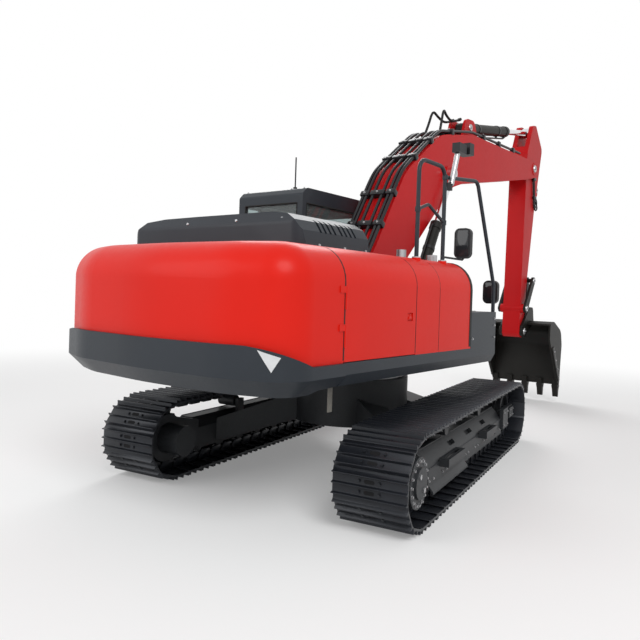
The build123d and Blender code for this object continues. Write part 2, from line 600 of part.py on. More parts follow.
for sign in (-1, 1):
    y = CAB_MID + sign * CONSOLE_OUT
    c = box(200, 680, y - CONSOLE_HALF, y + CONSOLE_HALF, FLOOR, FLOOR + 560)
    c += rod_z(600, y, 14, FLOOR + 560, FLOOR + 780)
    c += rod_z(600, y, 26, FLOOR + 680, FLOOR + 780)
    consoles.append(c)
save("control_consoles", *consoles)

# rails, mirrors, lamp and aerial
RAIL_R = 20
rail = tube(
    ((POST_X[0], RAIL_Y0, PANEL_TOP), (POST_X[0], RAIL_Y0, 2990), (POST_X[1], RAIL_Y0, 2995),
     (POST_X[1], RAIL_Y0, PANEL_TOP)),
    RAIL_R, 120,
)
rail += tube(((POST_X[0], RAIL_Y0, 2520), (-210, RAIL_Y0, 2590), (POST_X[1], RAIL_Y0, 2450)), RAIL_R - 4, 60)
rail += tube(
    (
        (POST_X[1], RAIL_Y0, 2900), (760, 130 - HALF_W, 2960), (DECK_FRONT + 20, 48 - HALF_W, 1860),
        (DECK_FRONT + 17, 42 - HALF_W, 1240),
    ),
    RAIL_R, 80,
)
save("handrails", rail)

# mirrors: centre of the glass, width, height, bracket as a run of points
MIRROR_Y = (310 - HALF_W, 130 - HALF_W)
MIRRORS = (
    (
        (850, MIRROR_Y[0], 2310), 190, 330,
        ((380, MIRROR_Y[0], PANEL_TOP), (380, MIRROR_Y[0], 2130), (870, MIRROR_Y[0], 2130),
         (870, MIRROR_Y[0], 2300)),
    ),
    (
        (1230, MIRROR_Y[1], 1790), 170, 260,
        ((1117.2, 56.3 - HALF_W, 1700), (1250, MIRROR_Y[1], 1700), (1250, MIRROR_Y[1], 1790)),
    ),
)
mirrors = []
for (x, y, z), wide, high, bracket in MIRRORS:
    head = box(x - 25, x + 35, y - wide / 2, y + wide / 2, z - high / 2, z + high / 2)
    head = fillet(head.edges().filter_by(Axis.X), 60)
    mirrors.append(head + tube(bracket, 11, 40))
save("mirrors", *mirrors)

LAMP_Y = RAIL_Y0 - 46
lamp = rod((150, LAMP_Y, 2790), (290, LAMP_Y, 3180), 14)
lamp += box(125, 165, LAMP_Y - 15, RAIL_Y0 - RAIL_R - SEAT, 2770, 2850)
lamp += box(240, 400, LAMP_Y - 45, LAMP_Y + 40, 3170, 3265)
lamp += rod((395, LAMP_Y, 3225), (450, LAMP_Y, 3235), 30)
lamp += box(440, 540, LAMP_Y - 62, LAMP_Y + 62, 3180, 3300)
save("work_lamp", lamp)

caps = []
for x, y, r in ((-480, 310 - HALF_W, 45), (260, 380 - HALF_W, 55)):
    caps.append(rod_z(x, y, r, PANEL_TOP, PANEL_TOP + 70))
save("filler_caps", *caps)
AERIAL_Y = CAB_Y[0] + 270
save("antenna",
     rod_z(-60, AERIAL_Y, 8, CAB_Z[1], CAB_Z[1] + 380) + rod_z(-60, AERIAL_Y, 22, CAB_Z[1], CAB_Z[1] + 40))

# boom
BOOM = ((60, 1560), (330, 1560), (2100, 3170), (2450, 3280), (4920, 3742), (5380, 3850),
        (5450, 4110), (4690, 4085), (2750, 4010), (1750, 3800), (900, 3180), (0, 1800))
boom = side(BOOM, -BOOM_HALF, BOOM_HALF,
            ((0, 110), (1, 200), (2, 500), (5, 90), (6, 90), (8, 900), (9, 900), (10, 900), (11, 90)))
boom = boom - side(
    ((420, 1760), (2080, 3260), (2450, 3360), (4500, 3730), (4500, 3990), (2780, 3940), (1800, 3730),
     (960, 3120), (380, 2150)),
    -BOOM_HALF + 22, BOOM_HALF - 22,
)
boom += rod_y(BOOM_FOOT, 135, -FOOT_IN + FIT, FOOT_IN - FIT)
boom -= rod_y(BOOM_FOOT, 55 + FIT, -400, 400)
for sign in (-1, 1):
    lo, hi = sorted((sign * 92, sign * 130))
    boom += side(((2600, 3950), (2700, 4250), (2980, 4270), (3150, 3950)), lo, hi, ((1, 110), (2, 110)))
    lo, hi = sorted((sign * (BOOM_HALF - 5), sign * (BOOM_CYL_Y - 38 - FIT)))
    boom += rod_y(BOOM_CYL_HEAD, 95, lo, hi)
boom += rod_y(ARM_CYL_FOOT, 42, -131, 131)
FORK_HALF = ARM_HALF + FIT + 20
boom -= box(BOOM_TIP[0] - 450, BOOM_TIP[0] + 410, -FORK_HALF, FORK_HALF, BOOM_TIP[1] - 485, BOOM_TIP[1] + 415)
boom += rod_y(BOOM_TIP, 50, -BOOM_HALF - 12, BOOM_HALF + 12)
boom += rod_y(BOOM_TIP, 105, -BOOM_HALF - 8, -BOOM_HALF) + rod_y(BOOM_TIP, 105, BOOM_HALF, BOOM_HALF + 8)
save("boom", boom)

# pipes along the boom's top: across the boom, radius, and whether they go on to its tip
TOP_RUN = ((0, 1800), (900, 3180), (1750, 3800), (2750, 4010), (4690, 4085))


def above(number, fraction, lift):
    p, q = TOP_RUN[number], TOP_RUN[number + 1]
    span = math.hypot(q[0] - p[0], q[1] - p[1])
    t = ((q[0] - p[0]) / span, (q[1] - p[1]) / span)
    return (p[0] + t[0] * span * fraction - t[1] * lift, p[1] + t[1] * span * fraction + t[0] * lift)


PIPES = ((-205, 22, True), (-155, 22, False), (-110, 18, False), (110, 18, False), (155, 22, False),
         (205, 22, True))
LIFT = 46
pipes = None
for y, radius, to_tip in PIPES:
    run = [above(0, 0.45, LIFT), above(0, 0.99, LIFT), above(1, 0.99, LIFT + 4)]
    run += [above(2, 0.99, LIFT), above(3, 0.97, LIFT)] if to_tip else [above(2, 0.62, LIFT)]
    piece = tube([(x, y, z) for x, z in run], radius, 320)
    pipes = piece if pipes is None else pipes + piece
# clamps: which stretch of the top, where along it, half width across, and which sides
for number, fraction, split in ((0, 0.5, 0), (0, 0.72, 0), (1, 0.5, 0), (2, 0.5, 0), (3, 0.2, 1),
                                (3, 0.5, 1), (3, 0.8, 1)):
    a = above(number, fraction, 0)
    b = above(number, fraction, LIFT + 30)
    p, q = TOP_RUN[number], TOP_RUN[number + 1]
    span = math.hypot(q[0] - p[0], q[1] - p[1])
    t = (35 * (q[0] - p[0]) / span, 35 * (q[1] - p[1]) / span)
    outline = ((a[0] - t[0], a[1] - t[1]), (a[0] + t[0], a[1] + t[1]), (b[0] + t[0], b[1] + t[1]),
               (b[0] - t[0], b[1] - t[1]))
    for y0, y1 in (((-224, -186), (186, 224)) if split else ((-224, 224),)):
        pipes += side(outline, y0, y1)
# hose loops from the boom's back to the arm cylinder's foot: from that foot (x), spread, from that foot (z)
HOSE_LOOP = ((-950, 2.0, -250), (-770, 1.5, 120), (-590, 1.0, 150), (-210, 1.0, 85))
for y in (-55, 55):
    loop = [(ARM_CYL_FOOT[0] + x, y * wide, ARM_CYL_FOOT[1] + z) for x, wide, z in HOSE_LOOP]
    pipes += tube(loop, 18, 90)
save("boom_pipes", pipes)

# arm
ARM = ((5130, 3800), (5045, 1075), (5235, 1075), (5345, 2080), (5585, 3330), (5885, 4430), (5540, 4790),
       (5400, 4770), (5150, 4250))
arm = side(ARM, -ARM_HALF, ARM_HALF, ((0, 120), (1, 90), (2, 90), (5, 120), (6, 60), (7, 60), (8, 150)))
arm -= side(((5180, 3600), (5110, 1760), (5275, 1760), (5305, 2090), (5535, 3300), (5590, 3600)),
            -ARM_HALF + 18, ARM_HALF - 18)
arm += rod_y(BOOM_TIP, 120, -ARM_HALF - 19, ARM_HALF + 19)
arm -= rod_y(BOOM_TIP, 50 + FIT, -400, 400)
arm -= box(ARM_CYL_HEAD[0] - 290, ARM_CYL_HEAD[0] + 510, -75, 75, ARM_CYL_HEAD[1] - 290,
           ARM_CYL_HEAD[1] + 330)
arm -= rod_y(ARM_TIP, 40 + FIT, -400, 400)
arm += rod_y(ROCKER_PIN, 75, -ARM_HALF - 50, ARM_HALF + 50)
arm += rod_y(ROCKER_PIN, 38, -ARM_HALF - 92, ARM_HALF + 92)
for sign in (-1, 1):
    lo, hi = sorted((sign * 74, sign * 104))
    arm += side(((5560, 3450), (5640, 3820), (5800, 3800), (5870, 3720), (5850, 3620), (5700, 3450)), lo, hi)
arm += rod_y(BKT_CYL_FOOT, 38, -105, 105)
save("arm", arm)


def cylinder(foot, head, barrel_r, rod_r, barrel_end, shortest, eye_w, pin_r, eye_r, y=0, stub=0):
    """Barrel with its foot eye round a pin, and the rod with its own eye and pin ends."""
    reach = math.hypot(head[0] - foot[0], head[1] - foot[1])
    start = toward(foot, head, eye_r + 45)
    stop = toward(foot, head, barrel_end)
    barrel = rod((start[0], y, start[1]), (stop[0], y, stop[1]), barrel_r)
    gland = toward(foot, head, barrel_end - 90)
    barrel += rod((gland[0], y, gland[1]), (stop[0], y, stop[1]), barrel_r + 8)
    barrel += rod((foot[0], y, foot[1]), (start[0], y, start[1]), eye_w / 2 - 2)
    barrel += rod_y(foot, eye_r, y - eye_w / 2, y + eye_w / 2)
    barrel -= rod_y(foot, pin_r + FIT, y - eye_w, y + eye_w)
    hollow = toward(foot, head, eye_r + 90)
    over = toward(foot, head, barrel_end + 10)
    barrel -= rod((hollow[0], y, hollow[1]), (over[0], y, over[1]), rod_r + FIT)
    inside = toward(foot, head, eye_r + 110 + reach - shortest)
    shaft = rod((inside[0], y, inside[1]), (head[0], y, head[1]), rod_r)
    shaft += rod_y(head, eye_r, y - eye_w / 2, y + eye_w / 2)
    if stub:
        shaft += rod_y(head, pin_r, y - stub, y + stub)
    return barrel, shaft


pairs = [
    cylinder(
        BOOM_CYL_FOOT, BOOM_CYL_HEAD, barrel_r=68, rod_r=37, barrel_end=1500, shortest=1700,
        eye_w=76, pin_r=45, eye_r=78, y=s * BOOM_CYL_Y,
    )
    for s in (-1, 1)
]
save("boom_cylinder_barrels", *[p[0] for p in pairs])
save("boom_cylinder_rods", *[p[1] for p in pairs])
barrel, shaft = cylinder(
    ARM_CYL_FOOT, ARM_CYL_HEAD, barrel_r=80, rod_r=48, barrel_end=1640, shortest=1750,
    eye_w=130, pin_r=42, eye_r=85, stub=74,
)
save("arm_cylinder_barrel", barrel)
save("arm_cylinder_rod", shaft)
barrel, shaft = cylinder(
    BKT_CYL_FOOT, LINK_PIN, barrel_r=64, rod_r=38, barrel_end=1250, shortest=1600, eye_w=110, pin_r=38,
    eye_r=70,
)
save("bucket_cylinder_barrel", barrel)
save("bucket_cylinder_rod", shaft)

rockers = []
for sign in (-1, 1):
    lo, hi = sorted((sign * (ARM_HALF + 50 + FIT), sign * (ARM_HALF + 90)))
    dx, dz = LINK_PIN[0] - ROCKER_PIN[0], LINK_PIN[1] - ROCKER_PIN[1]
    span = math.hypot(dx, dz)
    t = (dx / span, dz / span)
    outline = []
    for along, off in ((0, -70), (span, -60), (span, 60), (0, 70)):
        outline.append((ROCKER_PIN[0] + t[0] * along - t[1] * off, ROCKER_PIN[1] + t[1] * along + t[0] * off))
    plate = side(outline, lo, hi) + rod_y(ROCKER_PIN, 70, lo, hi) + rod_y(LINK_PIN, 60, lo, hi)
    rockers.append(plate - rod_y(ROCKER_PIN, 38 + FIT, -400, 400))
rockers[0] += rod_y(LINK_PIN, 36, -ARM_HALF - 90, -62)
rockers[1] += rod_y(LINK_PIN, 36, 62, ARM_HALF + 90)
save("rocker_links", *rockers)

LINK_Y = (95, 135)
link = rod_y(BKT_LINK, 62, -LINK_Y[1], LINK_Y[1]) + rod_y(BKT_LINK, 38, -ARM_HALF - 3.6, ARM_HALF + 3.6)
for sign in (-1, 1):
    lo, hi = sorted((sign * LINK_Y[0], sign * LINK_Y[1]))
    dx, dz = LINK_PIN[0] - BKT_LINK[0], LINK_PIN[1] - BKT_LINK[1]
    span = math.hypot(dx, dz)
    t = (dx / span, dz / span)
    outline = []
    for along, off in ((0, -55), (span, -55), (span, 55), (0, 55)):
        outline.append((BKT_LINK[0] + t[0] * along - t[1] * off, BKT_LINK[1] + t[1] * along + t[0] * off))
    link += side(outline, lo, hi) + rod_y(LINK_PIN, 60, lo, hi)
link -= rod_y(LINK_PIN, 36 + FIT, -400, 400)
save("power_link", link)

# bucket: bowl, sides, ears and teeth
BOWL = ((5295, 1315), (5280, 1060), (5540, 660), (5830, 240), (5890, 250), (5915, 540), (5960, 940),
        (5890, 1190), (5452, 1375))
bucket = side(BOWL, -BUCKET_HALF, BUCKET_HALF, ((0, 40), (1, 120), (6, 180), (7, 180), (8, 200)))
HOLLOW = ((5180, 1270), (5100, 1060), (5420, 560), (5760, 150), (5845, 260), (5872, 540), (5914, 930),
          (5850, 1160), (5452, 1330))
bucket -= side(HOLLOW, -BUCKET_HALF + 30, BUCKET_HALF - 30, ((6, 150), (7, 150), (8, 170)))
for sign in (-1, 1):
    lo, hi = sorted((sign * (ARM_HALF + 4), sign * (ARM_HALF + 44)))
    bucket += side(((5050, 1110), (5070, 1270), (5430, 1595), (5580, 1590), (5640, 1330), (5400, 1200),
                    (5220, 1080)), lo, hi,
                   ((0, 60), (1, 60), (2, 60), (3, 60)))
bucket += rod_y(ARM_TIP, 40, -ARM_HALF - 44, ARM_HALF + 44)
bucket += rod_y(ARM_TIP, 85, -ARM_HALF - 62, -ARM_HALF - 44) + rod_y(ARM_TIP, 85, ARM_HALF + 44,
                                                                     ARM_HALF + 62)
for n in range(5):
    y = (n - 2) * (BUCKET_HALF - 60) / 2
    bucket += side(((5800, 340), (5815, 210), (5870, 25), (5905, 25), (5925, 210), (5935, 340)), y - 45,
                   y + 45)
save("bucket", bucket)
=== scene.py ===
import bpy, bmesh, json, math
from mathutils import Matrix, Vector


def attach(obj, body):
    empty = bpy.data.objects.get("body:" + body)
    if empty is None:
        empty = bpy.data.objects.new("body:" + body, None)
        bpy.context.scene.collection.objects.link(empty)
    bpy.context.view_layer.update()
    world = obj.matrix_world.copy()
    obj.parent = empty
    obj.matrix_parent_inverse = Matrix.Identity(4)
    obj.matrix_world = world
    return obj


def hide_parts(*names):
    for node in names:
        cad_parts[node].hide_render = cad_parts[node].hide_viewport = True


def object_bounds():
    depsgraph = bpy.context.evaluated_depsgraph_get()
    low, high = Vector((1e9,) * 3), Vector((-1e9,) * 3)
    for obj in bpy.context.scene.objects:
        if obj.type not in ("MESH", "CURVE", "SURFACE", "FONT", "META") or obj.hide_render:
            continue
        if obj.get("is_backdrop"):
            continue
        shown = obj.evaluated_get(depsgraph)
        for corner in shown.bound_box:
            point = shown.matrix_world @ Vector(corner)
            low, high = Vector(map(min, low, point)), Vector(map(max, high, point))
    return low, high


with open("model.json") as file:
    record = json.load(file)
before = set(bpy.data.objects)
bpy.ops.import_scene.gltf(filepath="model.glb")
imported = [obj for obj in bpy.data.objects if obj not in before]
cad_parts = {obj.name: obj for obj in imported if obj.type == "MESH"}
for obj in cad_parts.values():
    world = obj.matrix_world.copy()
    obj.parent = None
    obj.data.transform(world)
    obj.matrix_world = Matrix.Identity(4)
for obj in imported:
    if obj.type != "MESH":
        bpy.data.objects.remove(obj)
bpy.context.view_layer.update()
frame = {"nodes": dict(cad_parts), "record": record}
nodes = frame["nodes"]
print("frame loaded")

# materials: every one is procedural, on object coordinates
finish = {
    "fineScale": 28, "fineDetail": 3.0, "patches": (0.32, 0.68), "roughSpan": 0.07, "leastRough": 0.02,
    "coatRough": 0.06, "grainDepth": 0.002, "dustColour": (0.30, 0.28, 0.25), "dustRange": (0.5, 0.95),
}
pane = {"scale": 9.0, "patches": (0.3, 0.7), "dark": 0.92, "index": 1.45, "clear": 0.92}


def newMaterial(name):
    mat = bpy.data.materials.new(name)
    mat.use_nodes = True
    tree = mat.node_tree
    tree.nodes.clear()
    out = tree.nodes.new("ShaderNodeOutputMaterial")
    shader = tree.nodes.new("ShaderNodeBsdfPrincipled")
    tree.links.new(shader.outputs["BSDF"], out.inputs["Surface"])
    coords = tree.nodes.new("ShaderNodeTexCoord")
    return mat, tree, shader, coords


def noiseNode(tree, coords, scale, detail=4.0, rough=0.55):
    noise = tree.nodes.new("ShaderNodeTexNoise")
    noise.inputs["Scale"].default_value = scale
    noise.inputs["Detail"].default_value = detail
    noise.inputs["Roughness"].default_value = rough
    tree.links.new(coords.outputs["Object"], noise.inputs["Vector"])
    return noise


def rampNode(tree, source, places, colours):
    ramp = tree.nodes.new("ShaderNodeValToRGB")
    for stop, place, colour in zip(ramp.color_ramp.elements, places, colours):
        stop.position = place
        stop.color = (*colour, 1)
    tree.links.new(source, ramp.inputs["Fac"])
    return ramp.outputs["Color"]


def surface(
    name, colour, rough, metal=0.0, coat=0.0, shine=0.25, vary=0.10, scale=2.2, grain=0.0, dust=0.0,
):
    mat, tree, shader, coords = newMaterial(name)
    big = noiseNode(tree, coords, scale)
    fine = noiseNode(tree, coords, scale * finish["fineScale"], finish["fineDetail"])
    dark = tuple(c * (1 - vary) for c in colour)
    light = tuple(min(1.0, c * (1 + vary)) for c in colour)
    last = rampNode(tree, big.outputs["Fac"], finish["patches"], (dark, light))
    if dust:
        mix = tree.nodes.new("ShaderNodeMix")
        mix.data_type = "RGBA"
        mix.inputs["B"].default_value = (*finish["dustColour"], 1)
        amount = rampNode(tree, fine.outputs["Fac"], finish["dustRange"], ((0, 0, 0), (dust, dust, dust)))
        tree.links.new(amount, mix.inputs["Factor"])
        tree.links.new(last, mix.inputs["A"])
        last = mix.outputs["Result"]
    tree.links.new(last, shader.inputs["Base Color"])
    span = tree.nodes.new("ShaderNodeMapRange")
    span.inputs["To Min"].default_value = max(finish["leastRough"], rough - finish["roughSpan"])
    span.inputs["To Max"].default_value = min(1.0, rough + finish["roughSpan"])
    tree.links.new(fine.outputs["Fac"], span.inputs["Value"])
    tree.links.new(span.outputs["Result"], shader.inputs["Roughness"])
    shader.inputs["Metallic"].default_value = metal
    shader.inputs["Specular IOR Level"].default_value = shine
    shader.inputs["Coat Weight"].default_value = coat
    shader.inputs["Coat Roughness"].default_value = finish["coatRough"]
    if grain:
        bump = tree.nodes.new("ShaderNodeBump")
        bump.inputs["Strength"].default_value = grain
        bump.inputs["Distance"].default_value = finish["grainDepth"]
        tree.links.new(fine.outputs["Fac"], bump.inputs["Height"])
        tree.links.new(bump.outputs["Normal"], shader.inputs["Normal"])
    return mat


def glassSurface(name, tint, rough=0.03):
    mat, tree, shader, coords = newMaterial(name)
    fine = noiseNode(tree, coords, pane["scale"])
    dark = tuple(c * pane["dark"] for c in tint)
    tone = rampNode(tree, fine.outputs["Fac"], pane["patches"], (dark, tint))
    tree.links.new(tone, shader.inputs["Base Color"])
    shader.inputs["Roughness"].default_value = rough
    shader.inputs["IOR"].default_value = pane["index"]
    shader.inputs["Transmission Weight"].default_value = pane["clear"]
    return mat


redPaint = surface("redPaint", (0.63, 0.014, 0.007), 0.38, coat=0.04, shine=0.12, vary=0.03, scale=0.8)
boomPaint = surface("boomPaint", (0.50, 0.008, 0.010), 0.42, coat=0.02, shine=0.12, vary=0.05, scale=0.9)
greyPaint = surface("greyPaint", (0.024, 0.029, 0.036), 0.42, coat=0.06, shine=0.2, vary=0.08, scale=1.5)
framePaint = surface(
    "framePaint", (0.026, 0.028, 0.031), 0.46, shine=0.25, vary=0.14, scale=2.5, grain=0.1, dust=0.06,
)
trackSteel = surface(
    "trackSteel", (0.016, 0.018, 0.023), 0.34, metal=0.35, shine=0.4, vary=0.2, scale=3.0, grain=0.15,
)
bucketPaint = surface(
    "bucketPaint", (0.011, 0.0105, 0.009), 0.48, shine=0.2, vary=0.15, scale=2.0, grain=0.15,
)
rodChrome = surface("rodChrome", (0.72, 0.73, 0.75), 0.10, metal=1.0, vary=0.03, scale=4.0)
ringSteel = surface("ringSteel", (0.42, 0.42, 0.43), 0.32, metal=0.9, vary=0.08, scale=5.0)
engineIron = surface("engineIron", (0.07, 0.07, 0.07), 0.6, metal=0.3, vary=0.2, scale=4.0, grain=0.3)
blackPlastic = surface("blackPlastic", (0.012, 0.012, 0.014), 0.45, vary=0.12, scale=6.0, grain=0.1)
blackRubber = surface("blackRubber", (0.012, 0.012, 0.012), 0.62, vary=0.15, scale=8.0, grain=0.2)
pipeBlack = surface("pipeBlack", (0.014, 0.014, 0.016), 0.34, vary=0.1, scale=6.0)
seatCloth = surface("seatCloth", (0.03, 0.03, 0.034), 0.85, vary=0.2, scale=12.0, grain=0.5)
tintGlass = glassSurface("tintGlass", (0.62, 0.70, 0.70))
lampGlass = glassSurface("lampGlass", (0.92, 0.92, 0.90), 0.12)
boltSteel = surface("boltSteel", (0.46, 0.46, 0.47), 0.30, metal=0.9, vary=0.10, scale=14.0)
reflectorGrey = surface("reflectorGrey", (0.62, 0.63, 0.64), 0.38, metal=0.3, vary=0.06, scale=18.0)
strapWeb = surface("strapWeb", (0.20, 0.19, 0.17), 0.7, vary=0.12, scale=20.0, grain=0.3)
mirrorGlass = surface("mirrorGlass", (0.020, 0.022, 0.025), 0.10, coat=0.3, vary=0.05, scale=5.0)
toothSteel = surface("toothSteel", (0.016, 0.015, 0.014), 0.42, metal=0.3, vary=0.2, scale=5.0, grain=0.2)
# painted shade: a near-black colour for the thin ovals that stand in for the shade inside the track shoes'
# relief slots
paintedHoleShade = surface("paintedHoleShade", (0.006, 0.006, 0.007), 0.8, vary=0.1, scale=9.0)

slotMaterials = {
    "red_paint": redPaint, "boom_paint": boomPaint, "grey_paint": greyPaint, "frame_paint": framePaint,
    "track_steel": trackSteel, "bucket_paint": bucketPaint, "rod_chrome": rodChrome, "ring_steel": ringSteel,
    "engine_iron": engineIron, "tinted_glass": tintGlass, "black_plastic": blackPlastic,
    "black_rubber": blackRubber, "pipe_steel": pipeBlack, "seat_cloth": seatCloth,
}
for entry in frame["record"]["subparts"]:
    mesh = nodes[entry["node"]].data
    mesh.materials.clear()
    mesh.materials.append(slotMaterials[entry["material_slot"]])
print("materials set")

# pieces are drawn in millimetres from the datums of the part's source, which stand here in metres
datum = {"upper": (-0.2, 0, 0.075), "track": (0.02, 0, 0), "trackTurn": 8.8, "ring": (0, 0, 0.075)}
upperPlace = Matrix.Translation(datum["upper"])
trackPlace = Matrix.Rotation(math.radians(datum["trackTurn"]), 4, "Z") @ Matrix.Translation(datum["track"])
ringPlace = Matrix.Translation(datum["ring"])
# a bolt's washer and head, as parts of its size: height of the middle, radius, depth, and then sides
boltShape = ((0.08, 0.95, 0.3, 14), (0.5, 0.7, 0.8, 6))
pipeLine = {"steps": 6, "order": 3, "merge": 1e-5}


def metres(point):
    return Vector([value / 1000 for value in point])


def rounded(bm, faces, bevel):
    if bevel:
        edges = list({edge for face in faces for edge in face.edges})
        bmesh.ops.bevel(
            bm, geom=edges, offset=bevel / 1000, segments=2, profile=0.5, affect="EDGES", material=-1,
        )


def block(bm, place, low, high, bevel=0.0):
    middle = metres([(a + b) / 2 for a, b in zip(low, high)])
    size = [abs(b - a) / 1000 for a, b in zip(low, high)]
    spread = place @ Matrix.Translation(middle) @ Matrix.Diagonal((*size, 1))
    made = bmesh.ops.create_cube(bm, size=1, matrix=spread)
    rounded(bm, {face for vert in made["verts"] for face in vert.link_faces}, bevel)


def disc(bm, place, at, axis, radius, depth, sides=20, tip=None):
    turn = Vector((0, 0, 1)).rotation_difference(Vector(axis).normalized()).to_matrix().to_4x4()
    end = radius if tip is None else tip
    bmesh.ops.create_cone(
        bm, cap_ends=True, segments=sides, radius1=radius / 1000, radius2=end / 1000,
        depth=depth / 1000, matrix=place @ Matrix.Translation(metres(at)) @ turn,
    )


def bolt(bm, place, at, axis, size):
    way = Vector(axis).normalized()
    for rise, radius, depth, sides in boltShape:
        disc(bm, place, Vector(at) + way * size * rise, axis, size * radius, size * depth, sides)


def prism(bm, place, outline, y0, y1, bevel=0.0):
    # a side view drawn across from y0 to y1
    face = bm.faces.new([bm.verts.new(place @ metres((x, y0, z))) for x, z in outline])
    grown = bmesh.ops.extrude_face_region(bm, geom=[face], use_keep_orig=True)["geom"]
    far = [part for part in grown if isinstance(part, bmesh.types.BMVert)]
    bmesh.ops.translate(bm, vec=place.to_3x3() @ metres((0, y1 - y0, 0)), verts=far)
    rounded(bm, {side for vert in far for side in vert.link_faces} | {face}, bevel)


def loft(bm, place, low, high, bevel=0.0):
    # two outlines of as many points, bridged to a closed shape
    ends = [bm.faces.new([bm.verts.new(place @ metres(point)) for point in line]) for line in (low, high)]
    sides = bmesh.ops.bridge_loops(bm, edges=[edge for face in ends for edge in face.edges])["faces"]
    rounded(bm, ends + sides, bevel)


def lengthwise(bm, place, outline, x0, x1):
    # a section across the machine, drawn along from x0 to x1
    loft(bm, place, [(x0, *point) for point in outline], [(x1, *point) for point in outline])


def ring(bm, place, at, axis, inner, outer, depth, sides=24):
    way = Vector(axis).normalized()
    out = way.orthogonal().normalized()
    section = []
    for radius, shift in ((inner, -0.5), (outer, -0.5), (outer, 0.5), (inner, 0.5)):
        section.append(bm.verts.new(place @ metres(Vector(at) + way * depth * shift + out * radius)))
    edges = [bm.edges.new((a, b)) for a, b in zip(section, section[1:] + section[:1])]
    bmesh.ops.spin(
        bm, geom=section + edges, cent=place @ metres(at), axis=place.to_3x3() @ way,
        angle=2 * math.pi, steps=sides, use_merge=True,
    )


def pipe(bm, place, points, radius, sides=10, smooth=True):
    # a round line: the route's points are the controls of a NURBS line, or the corners of a straight one
    data = bpy.data.curves.new("route", "CURVE")
    data.dimensions = "3D"
    data.bevel_depth = radius / 1000
    data.bevel_resolution = sides // 2 - 2
    data.use_fill_caps = True
    data.resolution_u = pipeLine["steps"]
    spline = data.splines.new("NURBS" if smooth else "POLY")
    spline.points.add(len(points) - 1)
    for target, point in zip(spline.points, points):
        target.co = (*metres(point), 1)
    if smooth:
        spline.order_u = pipeLine["order"]
        spline.use_endpoint_u = True
    holder = bpy.data.objects.new("route", data)
    mesh = bpy.data.meshes.new_from_object(holder)
    mesh.transform(place)
    before = len(bm.verts)
    bm.from_mesh(mesh)
    bm.verts.ensure_lookup_table()
    bmesh.ops.remove_doubles(bm, verts=bm.verts[before:], dist=pipeLine["merge"])
    bpy.data.objects.remove(holder)
    bpy.data.meshes.remove(mesh)
    bpy.data.curves.remove(data)


def rod(bm, place, start, end, radius, sides=8):
    pipe(bm, place, (start, end), radius, sides, False)


def rim(bm, place, corners, radius):
    # a seal round a window: one straight bead along each edge
    for start, end in zip(corners, corners[1:] + corners[:1]):
        rod(bm, place, start, end, radius)


def piece(name, bm, mat, body, angle=35):
    bmesh.ops.recalc_face_normals(bm, faces=bm.faces)
    mesh = bpy.data.meshes.new(name)
    bm.to_mesh(mesh)
    bm.free()
    for face in mesh.polygons:
        face.use_smooth = True
    mesh.set_sharp_from_angle(angle=math.radians(angle))
    mesh.materials.append(mat)
    obj = bpy.data.objects.new(name, mesh)
    bpy.context.collection.objects.link(obj)
    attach(obj, body)
    return obj


# tracks: shoes with three grousers, relief slots shown as dark ovals of painted shade, link chains, bushings
# and bolts
track = {
    "gauge": 2400, "width": 600, "count": 48, "wheelX": 1795, "wheelZ": 380, "pinLine": 297,
    "plateTop": 57, "shoeBevel": 2.5, "boltRows": (0.28, 0.72), "boltY": 82, "boltSize": 15,
    "slotLong": 42, "slotWide": 15, "slotSides": 16, "slotRise": (-1, 0.8),
    "railY": (62, 102), "linkBevel": 3, "bushRadius": 27, "bushOut": 13, "bushSides": 14,
}
# outlines of one shoe and one link: part of the pitch along it, height above the pin line
shoeSide = (
    (-0.17, 27), (-0.15, 34), (-0.05, 44), (0.02, 57), (0.045, 83), (0.085, 83), (0.13, 57), (0.43, 57),
    (0.475, 83), (0.52, 83), (0.565, 57), (0.87, 57), (0.905, 83), (0.945, 83), (0.975, 57), (1.0, 50),
    (1.0, 41), (-0.01, 36), (-0.14, 22),
)
linkSide = (
    (0.03, -26), (0.16, -50), (0.84, -50), (0.97, -26), (0.985, 12), (0.88, 41), (0.12, 41), (0.015, 12),
)


def chainPoint(run):
    straight = 2 * track["wheelX"]
    arc = math.pi * track["pinLine"]
    run = run % (2 * straight + 2 * arc)
    front = Vector((track["wheelX"], track["wheelZ"]))
    rear = Vector((-track["wheelX"], track["wheelZ"]))
    down = Vector((0, track["pinLine"]))
    if run < straight:
        return rear - down + Vector((run, 0))
    run -= straight
    if run < arc:
        turn = run / track["pinLine"] - math.pi / 2
        return front + track["pinLine"] * Vector((math.cos(turn), math.sin(turn)))
    run -= arc
    if run < straight:
        return front + down - Vector((run, 0))
    turn = (run - straight) / track["pinLine"] + math.pi / 2
    return rear + track["pinLine"] * Vector((math.cos(turn), math.sin(turn)))


def slotOval(at, ahead, middle):
    oval = []
    for n in range(track["slotSides"]):
        turn = 2 * math.pi * n / track["slotSides"]
        end = math.copysign(track["slotLong"] - track["slotWide"], math.sin(turn))
        point = at + ahead * track["slotWide"] * math.cos(turn)
        oval.append((point.x, middle + track["slotWide"] * math.sin(turn) + end, point.y))
    return oval


